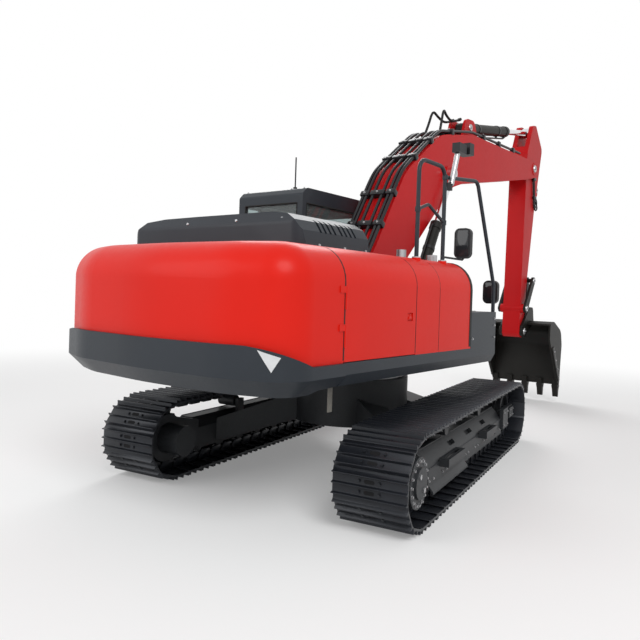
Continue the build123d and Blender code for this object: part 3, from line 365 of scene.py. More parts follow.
def buildTrack(name, node, side):
    shoes = bmesh.new()
    chain = bmesh.new()
    holeShades = bmesh.new()
    middle = side * track["gauge"] / 2
    half = track["width"] / 2
    bush = 2 * (track["railY"][1] + track["bushOut"])
    pitch = (4 * track["wheelX"] + 2 * math.pi * track["pinLine"]) / track["count"]
    for shoe in range(track["count"]):
        start, end = chainPoint(shoe * pitch), chainPoint((shoe + 1) * pitch)
        along = end - start
        ahead = along.normalized()
        out = Vector((ahead.y, -ahead.x))
        outline = [start + along * part + out * rise for part, rise in shoeSide]
        prism(shoes, trackPlace, outline, middle - half, middle + half, track["shoeBevel"])
        for part in track["boltRows"]:
            at = start + along * part + out * track["plateTop"]
            for y in (-track["boltY"], track["boltY"]):
                bolt(shoes, trackPlace, (at.x, middle + y, at.y), (out.x, 0, out.y), track["boltSize"])
            # painted shade: each relief slot is a thin dark oval lying on the shoe's plate, in place of the
            # shadow inside the slot
            low, high = [slotOval(at + out * rise, ahead, middle) for rise in track["slotRise"]]
            loft(holeShades, trackPlace, low, high)
        link = [start + along * part + out * rise for part, rise in linkSide]
        for sign in (-1, 1):
            walls = sorted(middle + sign * y for y in track["railY"])
            prism(chain, trackPlace, link, *walls, track["linkBevel"])
        pin = (start.x, middle, start.y)
        disc(chain, trackPlace, pin, (0, 1, 0), track["bushRadius"], bush, track["bushSides"])
    shown = piece(name + "Shoes", shoes, trackSteel, "undercarriage")
    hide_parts(node)
    piece(name + "Chain", chain, trackSteel, "undercarriage")
    piece(name + "SlotShade", holeShades, paintedHoleShade, "undercarriage")


buildTrack("leftTrack", "track_left", 1)
buildTrack("rightTrack", "track_right", -1)
print("tracks built")

# bolts and weld seams of the undercarriage; a face is measured outwards from the track's middle
# circles round the drive wheel: radius, count, face, bolt size
wheelBolts = ((168, 16, 262, 15), (238, 20, 35, 13))
drivePlugs = {"turns": (-0.9, 2.2), "circle": 75, "face": 287, "radius": 22, "depth": 14, "sides": 6}
rollerBolts = {"first": -1260, "step": 360, "count": 8, "apart": 55, "face": 180, "z": 262, "size": 12}
# the front yoke: along, up, face
yokeBolts = {"size": 14, "rows": (((1310, 1480), (290, 440), 215), ((1725, 1865), (345, 415), 200))}
# weld seams along the side frame: face, up
frameWelds = {"ends": (-1330, 1325), "radius": 6, "rows": ((180, 365), (60, 492))}


def onWheel(radius, turn):
    return radius * math.cos(turn) - track["wheelX"], radius * math.sin(turn) + track["wheelZ"]


bolts = bmesh.new()
welds = bmesh.new()
for side in (-1, 1):
    middle = side * track["gauge"] / 2
    outwards = (0, side, 0)
    for radius, count, face, size in wheelBolts:
        for n in range(count):
            x, z = onWheel(radius, 2 * math.pi * n / count)
            bolt(bolts, trackPlace, (x, middle + side * face, z), outwards, size)
    for turn in drivePlugs["turns"]:
        x, z = onWheel(drivePlugs["circle"], turn)
        at = (x, middle + side * drivePlugs["face"], z)
        disc(bolts, trackPlace, at, outwards, drivePlugs["radius"], drivePlugs["depth"], drivePlugs["sides"])
    for n in range(rollerBolts["count"]):
        x = rollerBolts["first"] + rollerBolts["step"] * n
        for shift in (-rollerBolts["apart"], rollerBolts["apart"]):
            at = (x + shift, middle + side * rollerBolts["face"], rollerBolts["z"])
            bolt(bolts, trackPlace, at, outwards, rollerBolts["size"])
    for placesX, placesZ, face in yokeBolts["rows"]:
        for x in placesX:
            for z in placesZ:
                bolt(bolts, trackPlace, (x, middle + side * face, z), outwards, yokeBolts["size"])
    for face, z in frameWelds["rows"]:
        rear, front = [(x, middle + side * face, z) for x in frameWelds["ends"]]
        rod(welds, trackPlace, rear, front, frameWelds["radius"])
piece("underBolts", bolts, boltSteel, "undercarriage")
piece("frameWelds", welds, framePaint, "undercarriage")

ringBolts = {"circle": 600, "count": 36, "z": 870, "size": 16}
bm = bmesh.new()
for n in range(ringBolts["count"]):
    turn = 2 * math.pi * n / ringBolts["count"]
    at = (ringBolts["circle"] * math.cos(turn), ringBolts["circle"] * math.sin(turn), ringBolts["z"])
    bolt(bm, ringPlace, at, (0, 0, -1), ringBolts["size"])
piece("ringBolts", bm, boltSteel, "upper")
print("undercarriage dressed")

# body: door latches, louvre slats, screws and bolts, triangular reflector, panel trims, strap, lid studs
body = {"half": 1310, "panelTop": 2070, "round": 280}
latch = {
    "z": 1535, "bevel": 3, "lockZ": 19, "lockDeep": 6, "lockRadius": 7, "lockLong": 6, "lockSides": 12,
    # plate and grip: half length, foot and top from the middle, how deep back and face lie in the door
    "parts": ((42, -31, 31, 17, 8), (28, -20, 6, 9, 1)),
    # name, door, along, side
    "doors": (("pumpLatch", "pump_door", -825, -1), ("radiatorLatch", "radiator_door", -485, 1)),
}
for name, node, x, side in latch["doors"]:
    bm = bmesh.new()
    face = side * body["half"]
    for half, foot, top, back, front in latch["parts"]:
        low = (x - half, face - side * back, latch["z"] + foot)
        high = (x + half, face - side * front, latch["z"] + top)
        block(bm, upperPlace, low, high, latch["bevel"])
    lock = (x, face - side * latch["lockDeep"], latch["z"] + latch["lockZ"])
    disc(bm, upperPlace, lock, (0, side, 0), latch["lockRadius"], latch["lockLong"], latch["lockSides"])
    piece(name, bm, redPaint, node)

slats = {
    "x": (-1600, -1080), "long": 430, "gap": 2, "z": 1400, "step": 48, "rows": 9,
    # one blade's section: how deep under the door's face, height in its row
    "blade": ((34, 14), (30, 18), (5, 5), (7, 1)),
}
bm = bmesh.new()
for row in range(slats["rows"]):
    z = slats["z"] + slats["step"] * row
    blade = [(body["half"] - deep, z + rise) for deep, rise in slats["blade"]]
    for x in slats["x"]:
        lengthwise(bm, upperPlace, blade, x + slats["gap"], x + slats["long"] - slats["gap"])
piece("radiatorSlats", bm, blackPlastic, "radiator_door")

hoodScrews = {
    "radius": 15, "tip": 11, "depth": 12, "sides": 16,
    # place and the way it points
    "rows": (
        ((-1838, -205, 2292), (-1, 0, 0.35)), ((-1830, -700, 2290), (-1, 0, 0.4)),
        ((-1838, 400, 2288), (-1, 0, 0.35)), ((-1600, -902, 2092), (0, -1, 0.1)),
        ((-1250, -902, 2092), (0, -1, 0.1)), ((-930, -902, 2092), (0, -1, 0.1)),
    ),
}
bm = bmesh.new()
for at, way in hoodScrews["rows"]:
    disc(
        bm, upperPlace, at, way, hoodScrews["radius"], hoodScrews["depth"], hoodScrews["sides"],
        hoodScrews["tip"],
    )
piece("hoodScrews", bm, boltSteel, "hood")

rail = {
    "x": (-410, 120), "y": 190 - body["half"], "foot": {"inner": 20, "outer": 40, "depth": 10},
    "clamp": {"inner": 19, "outer": 27, "depth": 46}, "clampsAt": ((-410, 2520), (120, 2450), (120, 2900)),
}
bodyBolts = {
    # on the panels' top: size, along, across
    "top": ((20, (-1905,), (-620, 60, 700)), (13, (-650, -350, -240, 80, 330), (-720,))),
    # on the right wall: along, up
    "wall": ((1035, 1500), (1035, 1428), (1035, 1300), (470, 1300)), "wallSize": 14,
}
bm = bmesh.new()
for size, placesX, placesY in bodyBolts["top"]:
    for x in placesX:
        for y in placesY:
            bolt(bm, upperPlace, (x, y, body["panelTop"]), (0, 0, 1), size)
for x, z in bodyBolts["wall"]:
    bolt(bm, upperPlace, (x, -body["half"], z), (0, -1, 0), bodyBolts["wallSize"])
for x in rail["x"]:
    foot = (x, rail["y"], body["panelTop"] + rail["foot"]["depth"] / 2)
    ring(bm, upperPlace, foot, (0, 0, 1), **rail["foot"])
piece("bodyBolts", bm, boltSteel, "upper")

reflector = {
    "corners": ((-2516, -1116, 1322), (-2430, -1253, 1276), (-2471, -1206, 1176)), "cuts": 6,
    "roundAt": Vector((-2199, -1012)), "round": 330, "sunk": 2, "proud": 4,
}
bm = bmesh.new()
bm.faces.new([bm.verts.new(corner) for corner in reflector["corners"]])
bmesh.ops.subdivide_edges(bm, edges=bm.edges, cuts=reflector["cuts"], use_grid_fill=True)
for vert in bm.verts:
    # each point goes out to the band's round corner
    way = (vert.co.xy - reflector["roundAt"]).normalized()
    edge = reflector["roundAt"] + way * (reflector["round"] - reflector["sunk"])
    vert.co = upperPlace @ metres((edge.x, edge.y, vert.co.z))
bmesh.ops.recalc_face_normals(bm, faces=bm.faces)
thick = (reflector["proud"] + reflector["sunk"]) / 1000
bmesh.ops.solidify(bm, geom=bm.faces[:] + bm.edges[:] + bm.verts[:], thickness=-thick)
piece("reflector", bm, reflectorGrey, "upper")

# strips down the panels' outer wall and over its shoulder: start, end, how far proud
trims = {
    "low": 1225, "sunk": 3, "steps": 8,
    "rows": ((-1808, -1793, 1.5), (-723, -717, 1), (-283, -277, 1), (388, 434, 4)),
}


def shoulderLine(radius):
    line = []
    for n in range(trims["steps"] + 1):
        turn = math.pi / 2 * n / trims["steps"]
        y = -(body["half"] - body["round"]) - radius * math.cos(turn)
        line.append((y, body["panelTop"] - body["round"] + radius * math.sin(turn)))
    return [(line[0][0], trims["low"]), *line]


bm = bmesh.new()
for x0, x1, proud in trims["rows"]:
    inside = shoulderLine(body["round"] - trims["sunk"])
    outside = shoulderLine(body["round"] + proud)
    lengthwise(bm, upperPlace, outside + inside[::-1], x0, x1)
piece("panelTrims", bm, blackRubber, "upper")

strap = {"low": (-1695, -1108, 800), "high": (-1640, -1098, 1040), "bevel": 3}
bm = bmesh.new()
block(bm, upperPlace, strap["low"], strap["high"], strap["bevel"])
piece("deckStrap", bm, strapWeb, "upper")

studs = {
    "x": (520, 1010), "y": (-1110, -700), "step": 41, "z": 1574,
    "radius": 12, "tip": 8, "depth": 6, "sides": 10,
}
bm = bmesh.new()
for x in range(*studs["x"], studs["step"]):
    for y in range(*studs["y"], studs["step"]):
        at = (x, y, studs["z"])
        disc(bm, upperPlace, at, (0, 0, 1), studs["radius"], studs["depth"], studs["sides"], studs["tip"])
piece("treadStuds", bm, framePaint, "tool_box_lid")
print("body dressed")

# cab: window seals, wiper, door handle, roof screws, padded seat
cab = {
    "x": (-250, 1240), "y": (388, 1350), "top": 2870, "bend": 1800, "leanBack": 140, "leanTall": 990,
    "seal": 9, "sunk": 3,
}
windows = {
    "top": 2700, "sill": 1760, "rearSill": 1900, "frontSill": 1500, "rightRear": -180, "rightFront": 130,
    "rightBend": 1900, "leftX": (-190, 80), "rearY": (468, 1250), "frontY": (458, 1280),
}
# the wiper's distances in front of the screen, its ends across and up
wiper = {
    "foot": (780, 1560), "tip": (860, 2350), "armOut": 8, "armRadius": 9, "bladeY": 850,
    "bladeZ": (1950, 2450), "bladeOut": 4, "bladeRadius": 12, "hubOut": 2, "hubRadius": 26, "hubLong": 26,
    "hubSides": 16,
}


def screenX(z, back):
    return cab["x"][1] - back - max(0, z - cab["bend"]) * cab["leanBack"] / cab["leanTall"]


def oblong(low, high, bottom, top):
    return [(low, bottom), (low, top), (high, top), (high, bottom)]


bm = bmesh.new()
rightEdge = windows["rightFront"]
right = [(windows["rightRear"], windows["sill"]), (windows["rightRear"], windows["top"])]
right += [(screenX(z, rightEdge), z) for z in (windows["top"], windows["rightBend"])]
right += [(screenX(windows["rightBend"], rightEdge), windows["sill"])]
rim(bm, upperPlace, [(x, cab["y"][0] + cab["sunk"], z) for x, z in right], cab["seal"])
left = oblong(*windows["leftX"], windows["sill"], windows["top"])
rim(bm, upperPlace, [(x, cab["y"][1] - cab["sunk"], z) for x, z in left], cab["seal"])
rear = oblong(*windows["rearY"], windows["rearSill"], windows["top"])
rim(bm, upperPlace, [(cab["x"][0] + cab["sunk"], y, z) for y, z in rear], cab["seal"])
screenLevels = (windows["top"], cab["bend"], windows["frontSill"])
front = [(windows["frontY"][0], z) for z in screenLevels]
front += [(windows["frontY"][1], z) for z in screenLevels[::-1]]
rim(bm, upperPlace, [(screenX(z, cab["sunk"]), y, z) for y, z in front], cab["seal"])
arm = [(screenX(z, -wiper["armOut"]), y, z) for y, z in (wiper["foot"], wiper["tip"])]
rod(bm, upperPlace, *arm, wiper["armRadius"])
blade = [(screenX(z, -wiper["bladeOut"]), wiper["bladeY"], z) for z in wiper["bladeZ"]]
rod(bm, upperPlace, *blade, wiper["bladeRadius"])
hub = (screenX(wiper["foot"][1], -wiper["hubOut"]), *wiper["foot"])
disc(bm, upperPlace, hub, (1, 0, 0), wiper["hubRadius"], wiper["hubLong"], wiper["hubSides"])
piece("windowSeals", bm, blackRubber, "upper")

door = {
    "rear": 230, "front": 190, "levels": (2660, 1800, 1500),
    # the handle's plate and grip: along, outwards from the cab's wall, up, bevel
    "handle": (((930, 1040), (-2, 10), (1400, 1450), 4), ((945, 1020), (9, 26), (1415, 1435), 5)),
}
bm = bmesh.new()
doorLine = [(door["rear"], door["levels"][-1]), (door["rear"], door["levels"][0])]
doorLine += [(screenX(z, door["front"]), z) for z in door["levels"]]
rim(bm, upperPlace, [(x, cab["y"][1] - cab["sunk"], z) for x, z in doorLine], cab["seal"])
for x, out, z, bevel in door["handle"]:
    low, high = [(x[n], cab["y"][1] + out[n], z[n]) for n in (0, 1)]
    block(bm, upperPlace, low, high, bevel)
piece("doorSeal", bm, blackRubber, "cab_door")

roofScrews = {"at": ((-165, 440), (-165, 620), (-165, 1290), (900, 440), (900, 1290)), "size": 13}
bm = bmesh.new()
for x, y in roofScrews["at"]:
    bolt(bm, upperPlace, (x, y, cab["top"]), (0, 0, 1), roofScrews["size"])
piece("roofScrews", bm, boltSteel, "upper")

# heights are above the cab's floor
seat = {
    "mid": 869, "floor": 1246, "backHalf": 215, "backBevel": 28,
    "backSide": ((252, 500), (142, 1050), (208, 1050), (322, 520)),
    # along, half width, up, bevel
    "cushion": ((160, 665), 235, (425, 500), 30), "headrest": ((60, 150), 130, (1060, 1240), 35),
    "posts": ((95, 1030), (105, 1090)), "postApart": 60, "postRadius": 9,
}


def pad(bm, x, half, z, bevel):
    low = (x[0], seat["mid"] - half, seat["floor"] + z[0])
    high = (x[1], seat["mid"] + half, seat["floor"] + z[1])
    block(bm, upperPlace, low, high, bevel)


bm = bmesh.new()
pad(bm, *seat["cushion"])
back = [(x, seat["floor"] + z) for x, z in seat["backSide"]]
prism(bm, upperPlace, back, seat["mid"] - seat["backHalf"], seat["mid"] + seat["backHalf"], seat["backBevel"])
pad(bm, *seat["headrest"])
piece("seatPads", bm, seatCloth, "upper", 60)
bm = bmesh.new()
for y in (seat["mid"] - seat["postApart"], seat["mid"] + seat["postApart"]):
    low, high = [(x, y, seat["floor"] + z) for x, z in seat["posts"]]
    rod(bm, upperPlace, low, high, seat["postRadius"])
piece("headrestPosts", bm, boltSteel, "upper")
print("cab dressed")

# mirrors' glass, lamp lens, rail clamps and lamp pole
mirrors = {
    "back": 30, "front": 24, "edge": 22, "bevel": 2,
    # along, across, up, width, height of the case
    "cases": ((850, -1000, 2310, 190, 330), (1230, -1180, 1790, 170, 260)),
}
bm = bmesh.new()
for x, y, z, wide, high in mirrors["cases"]:
    halfWide, halfHigh = wide / 2 - mirrors["edge"], high / 2 - mirrors["edge"]
    near = (x - mirrors["back"], y - halfWide, z - halfHigh)
    far = (x - mirrors["front"], y + halfWide, z + halfHigh)
    block(bm, upperPlace, near, far, mirrors["bevel"])
piece("mirrorGlass", bm, mirrorGlass, "upper")

workLamp = {
    "y": -1166, "half": 52, "x": (536, 546), "z": (3190, 3290), "bevel": 4,
    "pole": ((165, 2830), (283, 3160)), "poleRadius": 27, "poleSides": 14,
}
bm = bmesh.new()
low = (workLamp["x"][0], workLamp["y"] - workLamp["half"], workLamp["z"][0])
high = (workLamp["x"][1], workLamp["y"] + workLamp["half"], workLamp["z"][1])
block(bm, upperPlace, low, high, workLamp["bevel"])
piece("lampLens", bm, lampGlass, "upper")
bm = bmesh.new()
for x, z in rail["clampsAt"]:
    ring(bm, upperPlace, (x, rail["y"], z), (0, 0, 1), **rail["clamp"])
piece("railClamps", bm, greyPaint, "upper")
bm = bmesh.new()
foot, top = [(x, workLamp["y"], z) for x, z in workLamp["pole"]]
rod(bm, upperPlace, foot, top, workLamp["poleRadius"], workLamp["poleSides"])
piece("lampPole", bm, boltSteel, "upper")

# front end: pin caps, each with a bolt
pinCap = {"depth": 12, "sides": 24, "taper": 6, "bolt": 0.32}
# a pin's body, its place in side view, how far out the cap's foot lies, the cap's radius
pins = (
    ("upper", (150, 1700), 292, 68), ("upper", (830, 1330), 372, 52), ("boom", (1960, 3330), 341, 46),
    ("boom", (2850, 4150), 131, 50), ("boom", (5290, 3985), 237, 62), ("arm", (5120, 1570), 242, 50),
    ("bucket", (5140, 1180), 212, 58), ("rocker_links", (5450, 2060), 240, 44),
    ("arm", (5800, 3700), 105, 46),
)
for owner in ("upper", "boom", "arm", "bucket", "rocker_links"):
    bm = bmesh.new()
    for (x, z), face, size in [row[1:] for row in pins if row[0] == owner]:
        for side in (-1, 1):
            middle = (x, side * (face + pinCap["depth"] / 2), z)
            disc(
                bm, upperPlace, middle, (0, side, 0), size, pinCap["depth"], pinCap["sides"],
                size - pinCap["taper"],
            )
            outer = (x, side * (face + pinCap["depth"]), z)
            bolt(bm, upperPlace, outer, (0, side, 0), size * pinCap["bolt"])
    piece(owner.replace("_links", "") + "Pins", bm, boltSteel, owner)
print("pins set")

# cylinders: feed pipe with ports and clamps, gland bolts and wiper ring
# a row is a name, body, foot, head, across, barrel radius, rod radius, barrel end
barrels = (
    ("boomCylinderRight", "boom_cylinder_barrels", (830, 1330), (1960, 3330), -302, 68, 37, 1500),
    ("boomCylinderLeft", "boom_cylinder_barrels", (830, 1330), (1960, 3330), 302, 68, 37, 1500),
    ("armCylinder", "arm_cylinder_barrel", (2850, 4150), (5490, 4670), 0, 80, 48, 1640),
    ("bucketCylinder", "bucket_cylinder_barrel", (5800, 3700), (5450, 2060), 0, 64, 38, 1250),
)
# distances along are from the foot or back from the barrel's end, rises are from the barrel's skin
feed = {
    "radius": 13, "footBends": ((190, -4), (190, 30), (300, 30)), "endBends": ((190, 30), (60, 30), (60, 2)),
    "portRise": 8, "portRadius": 24, "portLong": 30, "portSides": 12,
    "clampFoot": 480, "clampEnd": 380, "clampSunk": 1, "clampProud": 7, "clampWide": 40, "clampSides": 28,
    "lugRise": 14, "lugRadius": 18, "lugLong": 32, "lugSides": 10,
}
gland = {
    "bolts": 8, "boltInset": 6, "boltSize": 9, "wiperAt": 6, "wiperGap": 1.5, "wiperOut": 14, "wiperDeep": 12,
    "wiperSides": 28,
}
for name, owner, foot, head, y, radius, rodRadius, end in barrels:
    way = Vector((head[0] - foot[0], 0, head[1] - foot[1])).normalized()
    up = Vector((0, 1, 0)).cross(way)
    if name.startswith("boom"):
        up = -up
    base = Vector((foot[0], y, foot[1]))
    bm = bmesh.new()
    bends = feed["footBends"] + tuple((end - back, rise) for back, rise in feed["endBends"])
    pipe(bm, upperPlace, [base + way * at + up * (radius + rise) for at, rise in bends], feed["radius"])
    for at in (bends[0][0], bends[-1][0]):
        port = base + way * at + up * (radius + feed["portRise"])
        disc(bm, upperPlace, port, up, feed["portRadius"], feed["portLong"], feed["portSides"])
    for at in (feed["clampFoot"], end - feed["clampEnd"]):
        ring(
            bm, upperPlace, base + way * at, way, radius - feed["clampSunk"], radius + feed["clampProud"],
            feed["clampWide"], feed["clampSides"],
        )
        lug = base + way * at + up * (radius + feed["lugRise"])
        disc(bm, upperPlace, lug, up, feed["lugRadius"], feed["lugLong"], feed["lugSides"])
    piece(name + "Feed", bm, pipeBlack, owner)
    bm = bmesh.new()
    for n in range(gland["bolts"]):
        turn = 2 * math.pi * (n + 0.5) / gland["bolts"]
        around = up * math.cos(turn) + Vector((0, 1, 0)) * math.sin(turn)
        at = base + way * end + around * (radius - gland["boltInset"])
        bolt(bm, upperPlace, at, way, gland["boltSize"])
    ring(
        bm, upperPlace, base + way * (end + gland["wiperAt"]), way, rodRadius + gland["wiperGap"],
        rodRadius + gland["wiperOut"], gland["wiperDeep"], gland["wiperSides"],
    )
    piece(name + "Gland", bm, boltSteel, owner)
print("cylinders dressed")

# pipes over the boom in pairs, each pair in its own clamps, with hose loops to the arm cylinder's foot
boomPipes = {
    "radius": 19, "lift": 46, "topRun": ((0, 1800), (900, 3180), (1750, 3800), (2750, 4010), (4690, 4085)),
    # bends of every pipe, then of short and long ones: stretch of the top, part along it, further lift
    "bends": ((0, 0.24, 0), (0, 0.8, 0), (0, 0.97, 0), (1, 0.1, 0), (1, 0.85, 0), (2, 0.03, 6), (2, 0.2, 0)),
    "short": ((2, 0.6, 0),), "long": ((2, 0.95, 0), (3, 0.05, 0), (3, 0.97, 0)),
    "rows": ((-200, "long"), (-150, "short"), (-60, "short"), (60, "short"), (150, "short"), (200, "long")),
}
clamps = {
    "half": 34, "sunk": 4, "over": 30, "bevel": 5, "boltSize": 14,
    # across, half width
    "lower": ((-175, 58), (0, 95), (175, 58)), "upper": ((-200, 30), (200, 30)),
    # stretch of the top, part along it, which set
    "rows": (
        (0, 0.50, "lower"), (0, 0.78, "lower"), (1, 0.30, "lower"), (1, 0.75, "lower"), (2, 0.35, "lower"),
        (3, 0.20, "upper"), (3, 0.50, "upper"), (3, 0.80, "upper"),
    ),
}


def overBoom(stretch, part, lift):
    a, b = [Vector(point) for point in boomPipes["topRun"][stretch:stretch + 2]]
    along = (b - a).normalized()
    return a + (b - a) * part + Vector((-along.y, along.x)) * lift


bm = bmesh.new()
for y, length in boomPipes["rows"]:
    bends = boomPipes["bends"] + boomPipes[length]
    route = [overBoom(stretch, part, boomPipes["lift"] + more) for stretch, part, more in bends]
    pipe(bm, upperPlace, [(p.x, y, p.y) for p in route], boomPipes["radius"])
pipesShown = piece("boomPipes", bm, pipeBlack, "boom")
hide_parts("boom_pipes")
bm = bmesh.new()
bolts = bmesh.new()
for stretch, part, group in clamps["rows"]:
    low = overBoom(stretch, part, -clamps["sunk"])
    high = overBoom(stretch, part, boomPipes["lift"] + clamps["over"])
    out = (high - low).normalized()
    ahead = Vector((out.y, -out.x)) * clamps["half"]
    outline = [low - ahead, low + ahead, high + ahead, high - ahead]
    for y, half in clamps[group]:
        prism(bm, upperPlace, outline, y - half, y + half, clamps["bevel"])
        bolt(bolts, upperPlace, (high.x, y, high.y), (out.x, 0, out.y), clamps["boltSize"])
piece("pipeClamps", bm, pipeBlack, "boom")
piece("clampBolts", bolts, boltSteel, "boom")

hoseLoops = {
    "radius": 17, "fitting": 24, "fittingLong": 60, "fittingSides": 6,
    "startWay": (0.4, 0, 0.9), "endWay": (0.92, 0, 0.4),
    # along, across, up
    "route": (
        (1930, 110, 3855), (2010, 95, 4020), (2090, 80, 4240), (2210, 62, 4175), (2420, 55, 4130),
        (2640, 55, 4225),
    ),
}
bm = bmesh.new()
for side in (-1, 1):
    route = [(x, side * y, z) for x, y, z in hoseLoops["route"]]
    pipe(bm, upperPlace, route, hoseLoops["radius"])
    for at, way in ((route[0], hoseLoops["startWay"]), (route[-1], hoseLoops["endWay"])):
        disc(
            bm, upperPlace, at, way, hoseLoops["fitting"], hoseLoops["fittingLong"],
            hoseLoops["fittingSides"],
        )
piece("hoseLoops", bm, blackRubber, "boom")

armPipes = {
    "radius": 13, "shift": 38, "fitting": 22, "fittingSides": 12,
    # along, across, up, and the shifts that the second pipe takes along and down
    "route": (
        (5390, -172, 4120, 1, 0), (5430, -172, 3800, 1, 0), (5490, -172, 3450, 1, 0),
        (5510, -172, 3330, 1, 1), (5640, -168, 3370, 1, 1), (5700, -150, 3500, 0, 2),
        (5720, -112, 3560, 0, 2),
    ),
    "endY": -110, "endLong": 14, "startY": -162, "startLong": 28,
    "clamps": ((5443, 3840), (5492, 3520)), "clampX": (-40, 75), "clampY": (-192, -149), "clampHalf": 25,
    "clampBevel": 5,
}
bm = bmesh.new()
for shift in (0, armPipes["shift"]):
    route = [(x + ahead * shift, y, z - down * shift) for x, y, z, ahead, down in armPipes["route"]]
    pipe(bm, upperPlace, route, armPipes["radius"])
    for point, y, long in (
        (route[-1], armPipes["endY"], armPipes["endLong"]),
        (route[0], armPipes["startY"], armPipes["startLong"]),
    ):
        at = (point[0], y, point[2])
        disc(bm, upperPlace, at, (0, -1, 0), armPipes["fitting"], long, armPipes["fittingSides"])
for x, z in armPipes["clamps"]:
    low = (x + armPipes["clampX"][0], armPipes["clampY"][0], z - armPipes["clampHalf"])
    high = (x + armPipes["clampX"][1], armPipes["clampY"][1], z + armPipes["clampHalf"])
    block(bm, upperPlace, low, high, armPipes["clampBevel"])
piece("armPipes", bm, pipeBlack, "arm")

# bucket: tooth caps, side cutters with bolts, wear strips on the back
bucket = {"half": 600, "teeth": 5, "toothEdge": 60}
toothCaps = {
    "bevel": 6, "pinRadius": 14, "pinLong": 14, "pinSides": 12, "pinAt": (5868, 52, 195),
    # along, half width, up
    "tip": ((5868, 5907), 36, 22), "root": ((5808, 5932), 54, 230),
}


def capEnd(middle, x, half, z):
    right, left = middle - half, middle + half
    return [(x[0], right, z), (x[1], right, z), (x[1], left, z), (x[0], left, z)]


caps = bmesh.new()
toothStep = 2 * (bucket["half"] - bucket["toothEdge"]) / (bucket["teeth"] - 1)
for n in range(bucket["teeth"]):
    y = (n - (bucket["teeth"] - 1) / 2) * toothStep
    loft(caps, upperPlace, capEnd(y, *toothCaps["tip"]), capEnd(y, *toothCaps["root"]), toothCaps["bevel"])
    for side in (-1, 1):
        x, out, z = toothCaps["pinAt"]
        disc(
            caps, upperPlace, (x, y + side * out, z), (0, side, 0), toothCaps["pinRadius"],
            toothCaps["pinLong"], toothCaps["pinSides"],
        )
piece("toothCaps", caps, toothSteel, "bucket")

cutters = {
    "thick": 16, "bevel": 4, "stripHalf": 30, "stripBevel": 2, "stripsAt": (-390, -130, 130, 390),
    # side views: along, up
    "blade": ((5395, 905), (5535, 680), (5795, 300), (5870, 330), (5640, 700), (5500, 930)),
    "strip": (
        (5887, 330), (5915, 540), (5959, 930), (5925, 1080), (5938, 1084), (5973, 930), (5928, 538),
        (5900, 330),
    ),
    "bolts": ((5492, 845), (5592, 690), (5702, 530), (5802, 385)), "boltSize": 17,
}
cutterFace = bucket["half"] + cutters["thick"]
bm = bmesh.new()
for side in (-1, 1):
    low, high = sorted((side * bucket["half"], side * cutterFace))
    prism(bm, upperPlace, cutters["blade"], low, high, cutters["bevel"])
for y in cutters["stripsAt"]:
    low, high = y - cutters["stripHalf"], y + cutters["stripHalf"]
    prism(bm, upperPlace, cutters["strip"], low, high, cutters["stripBevel"])
piece("cutters", bm, toothSteel, "bucket")
bm = bmesh.new()
for side in (-1, 1):
    for x, z in cutters["bolts"]:
        bolt(bm, upperPlace, (x, side * cutterFace, z), (0, side, 0), cutters["boltSize"])
piece("cutterBolts", bm, boltSteel, "bucket")
print("front end dressed")


# floor, light and camera
def seenRays(tree):
    # 1 for what the camera, a gloss or a glass sees, 0 for what only lights the object
    rays = tree.nodes.new("ShaderNodeLightPath")
    total = rays.outputs["Is Camera Ray"]
    for kind in ("Is Glossy Ray", "Is Transmission Ray"):
        either = tree.nodes.new("ShaderNodeMath")
        either.operation = "MAXIMUM"
        tree.links.new(total, either.inputs[0])
        tree.links.new(rays.outputs[kind], either.inputs[1])
        total = either.outputs[0]
    return total


floorLook = {
    "dark": (0.87, 0.87, 0.87), "light": (0.88, 0.88, 0.88), "patches": (0.3, 0.7), "scale": 0.4,
    "rough": 0.75, "shine": 0.1, "near": 5.5, "far": 14.0, "lift": 0.22, "half": 60,
}
floorMat, tree, shader, coords = newMaterial("floorMat")
speck = noiseNode(tree, coords, floorLook["scale"])
tones = (floorLook["dark"], floorLook["light"])
pale = rampNode(tree, speck.outputs["Fac"], floorLook["patches"], tones)
tree.links.new(pale, shader.inputs["Base Color"])
shader.inputs["Roughness"].default_value = floorLook["rough"]
shader.inputs["Specular IOR Level"].default_value = floorLook["shine"]
away = tree.nodes.new("ShaderNodeVectorMath")
away.operation = "LENGTH"
tree.links.new(coords.outputs["Object"], away.inputs[0])
fade = tree.nodes.new("ShaderNodeMapRange")
fade.interpolation_type = "SMOOTHSTEP"
fade.inputs["From Min"].default_value = floorLook["near"]
fade.inputs["From Max"].default_value = floorLook["far"]
fade.inputs["To Min"].default_value = floorLook["lift"]
tree.links.new(away.outputs["Value"], fade.inputs["Value"])
shown = tree.nodes.new("ShaderNodeMath")
shown.operation = "MULTIPLY"
tree.links.new(fade.outputs["Result"], shown.inputs[0])
tree.links.new(seenRays(tree), shown.inputs[1])
white = tree.nodes.new("ShaderNodeEmission")
blend = tree.nodes.new("ShaderNodeMixShader")
tree.links.new(shown.outputs[0], blend.inputs["Fac"])
tree.links.new(shader.outputs["BSDF"], blend.inputs[1])
tree.links.new(white.outputs["Emission"], blend.inputs[2])
tree.links.new(blend.outputs["Shader"], tree.nodes["Material Output"].inputs["Surface"])
bm = bmesh.new()
bmesh.ops.create_grid(bm, x_segments=1, y_segments=1, size=floorLook["half"])
floorMesh = bpy.data.meshes.new("floor")
bm.to_mesh(floorMesh)
bm.free()
floor = bpy.data.objects.new("floor", floorMesh)
floorMesh.materials.append(floorMat)
bpy.context.collection.objects.link(floor)
floor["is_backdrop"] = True

# the room is white to the camera and dimmer as a light
room = {"colour": (1.0, 1.0, 1.0, 1), "light": 0.45, "seen": 1.0}
world = bpy.data.worlds.new("studio")
world.use_nodes = True
tree = world.node_tree
backdrop = tree.nodes["Background"]
backdrop.inputs["Color"].default_value = room["colour"]
level = tree.nodes.new("ShaderNodeMapRange")
level.inputs["To Min"].default_value = room["light"]
level.inputs["To Max"].default_value = room["seen"]
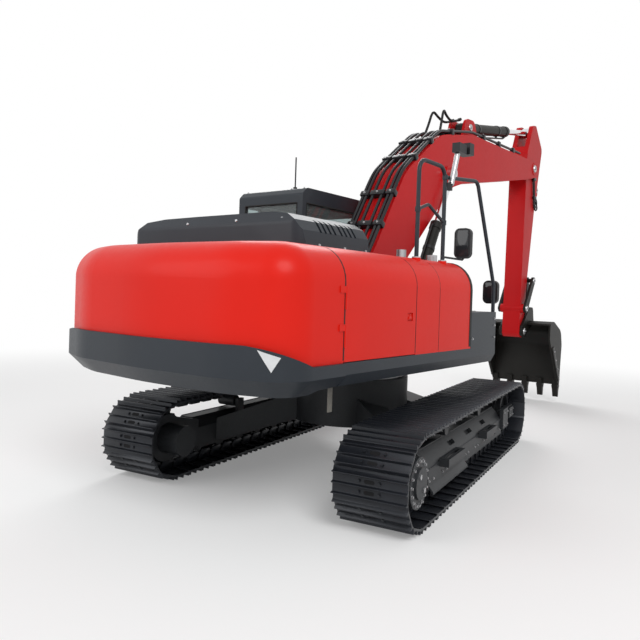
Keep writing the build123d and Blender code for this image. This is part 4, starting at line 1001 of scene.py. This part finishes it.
tree.links.new(seenRays(tree), level.inputs["Value"])
tree.links.new(level.outputs["Result"], backdrop.inputs["Strength"])
bpy.context.scene.world = world


def areaLight(name, at, aim, size, power):
    light = bpy.data.lights.new(name, "AREA")
    light.shape = "DISK"
    light.size = size
    light.energy = power
    lamp = bpy.data.objects.new(name, light)
    lamp.location = at
    lamp.rotation_mode = "QUATERNION"
    lamp.rotation_quaternion = (Vector(aim) - Vector(at)).to_track_quat("-Z", "Y")
    bpy.context.collection.objects.link(lamp)
    lamp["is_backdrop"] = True


areaLight("keyLight", at=(-7, -9, 10), aim=(0, 0, 1.5), size=7, power=1000)
areaLight("fillLight", at=(-10, 4, 6), aim=(0, 0, 1.5), size=8, power=350)
areaLight("backLight", at=(8, 6, 9), aim=(2, 0, 2), size=7, power=500)

# angles in radians, focal length and image width in pixels, sensor in millimetres
cameraFit = {
    "at": (-5.766, -3.953, 1.782), "yaw": 0.652, "pitch": -0.010, "roll": 0.033, "focal": 629.0,
    "shiftY": -0.031, "imageWidth": 640, "sensor": 36, "clipEnd": 200,
}


def addCamera(fit):
    yaw, pitch, roll = fit["yaw"], fit["pitch"], fit["roll"]
    ahead = Vector((math.cos(yaw), math.sin(yaw), 0))
    right = Vector((math.sin(yaw), -math.cos(yaw), 0))
    up = Vector((0, 0, 1))
    look = ahead * math.cos(pitch) + up * math.sin(pitch)
    top = up * math.cos(pitch) - ahead * math.sin(pitch)
    across = right * math.cos(roll) + top * math.sin(roll)
    top = top * math.cos(roll) - right * math.sin(roll)
    data = bpy.data.cameras.new("photoCamera")
    data.sensor_width = fit["sensor"]
    data.lens = fit["focal"] / fit["imageWidth"] * fit["sensor"]
    data.shift_y = fit["shiftY"]
    data.clip_end = fit["clipEnd"]
    cam = bpy.data.objects.new("photoCamera", data)
    turn = Matrix((across, top, -look)).transposed()
    cam.location = fit["at"]
    cam.rotation_mode = "QUATERNION"
    cam.rotation_quaternion = turn.to_quaternion()
    bpy.context.collection.objects.link(cam)
    bpy.context.scene.camera = cam


addCamera(cameraFit)
bpy.context.scene.view_settings.view_transform = "Standard"
print("stage set")

low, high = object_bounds()
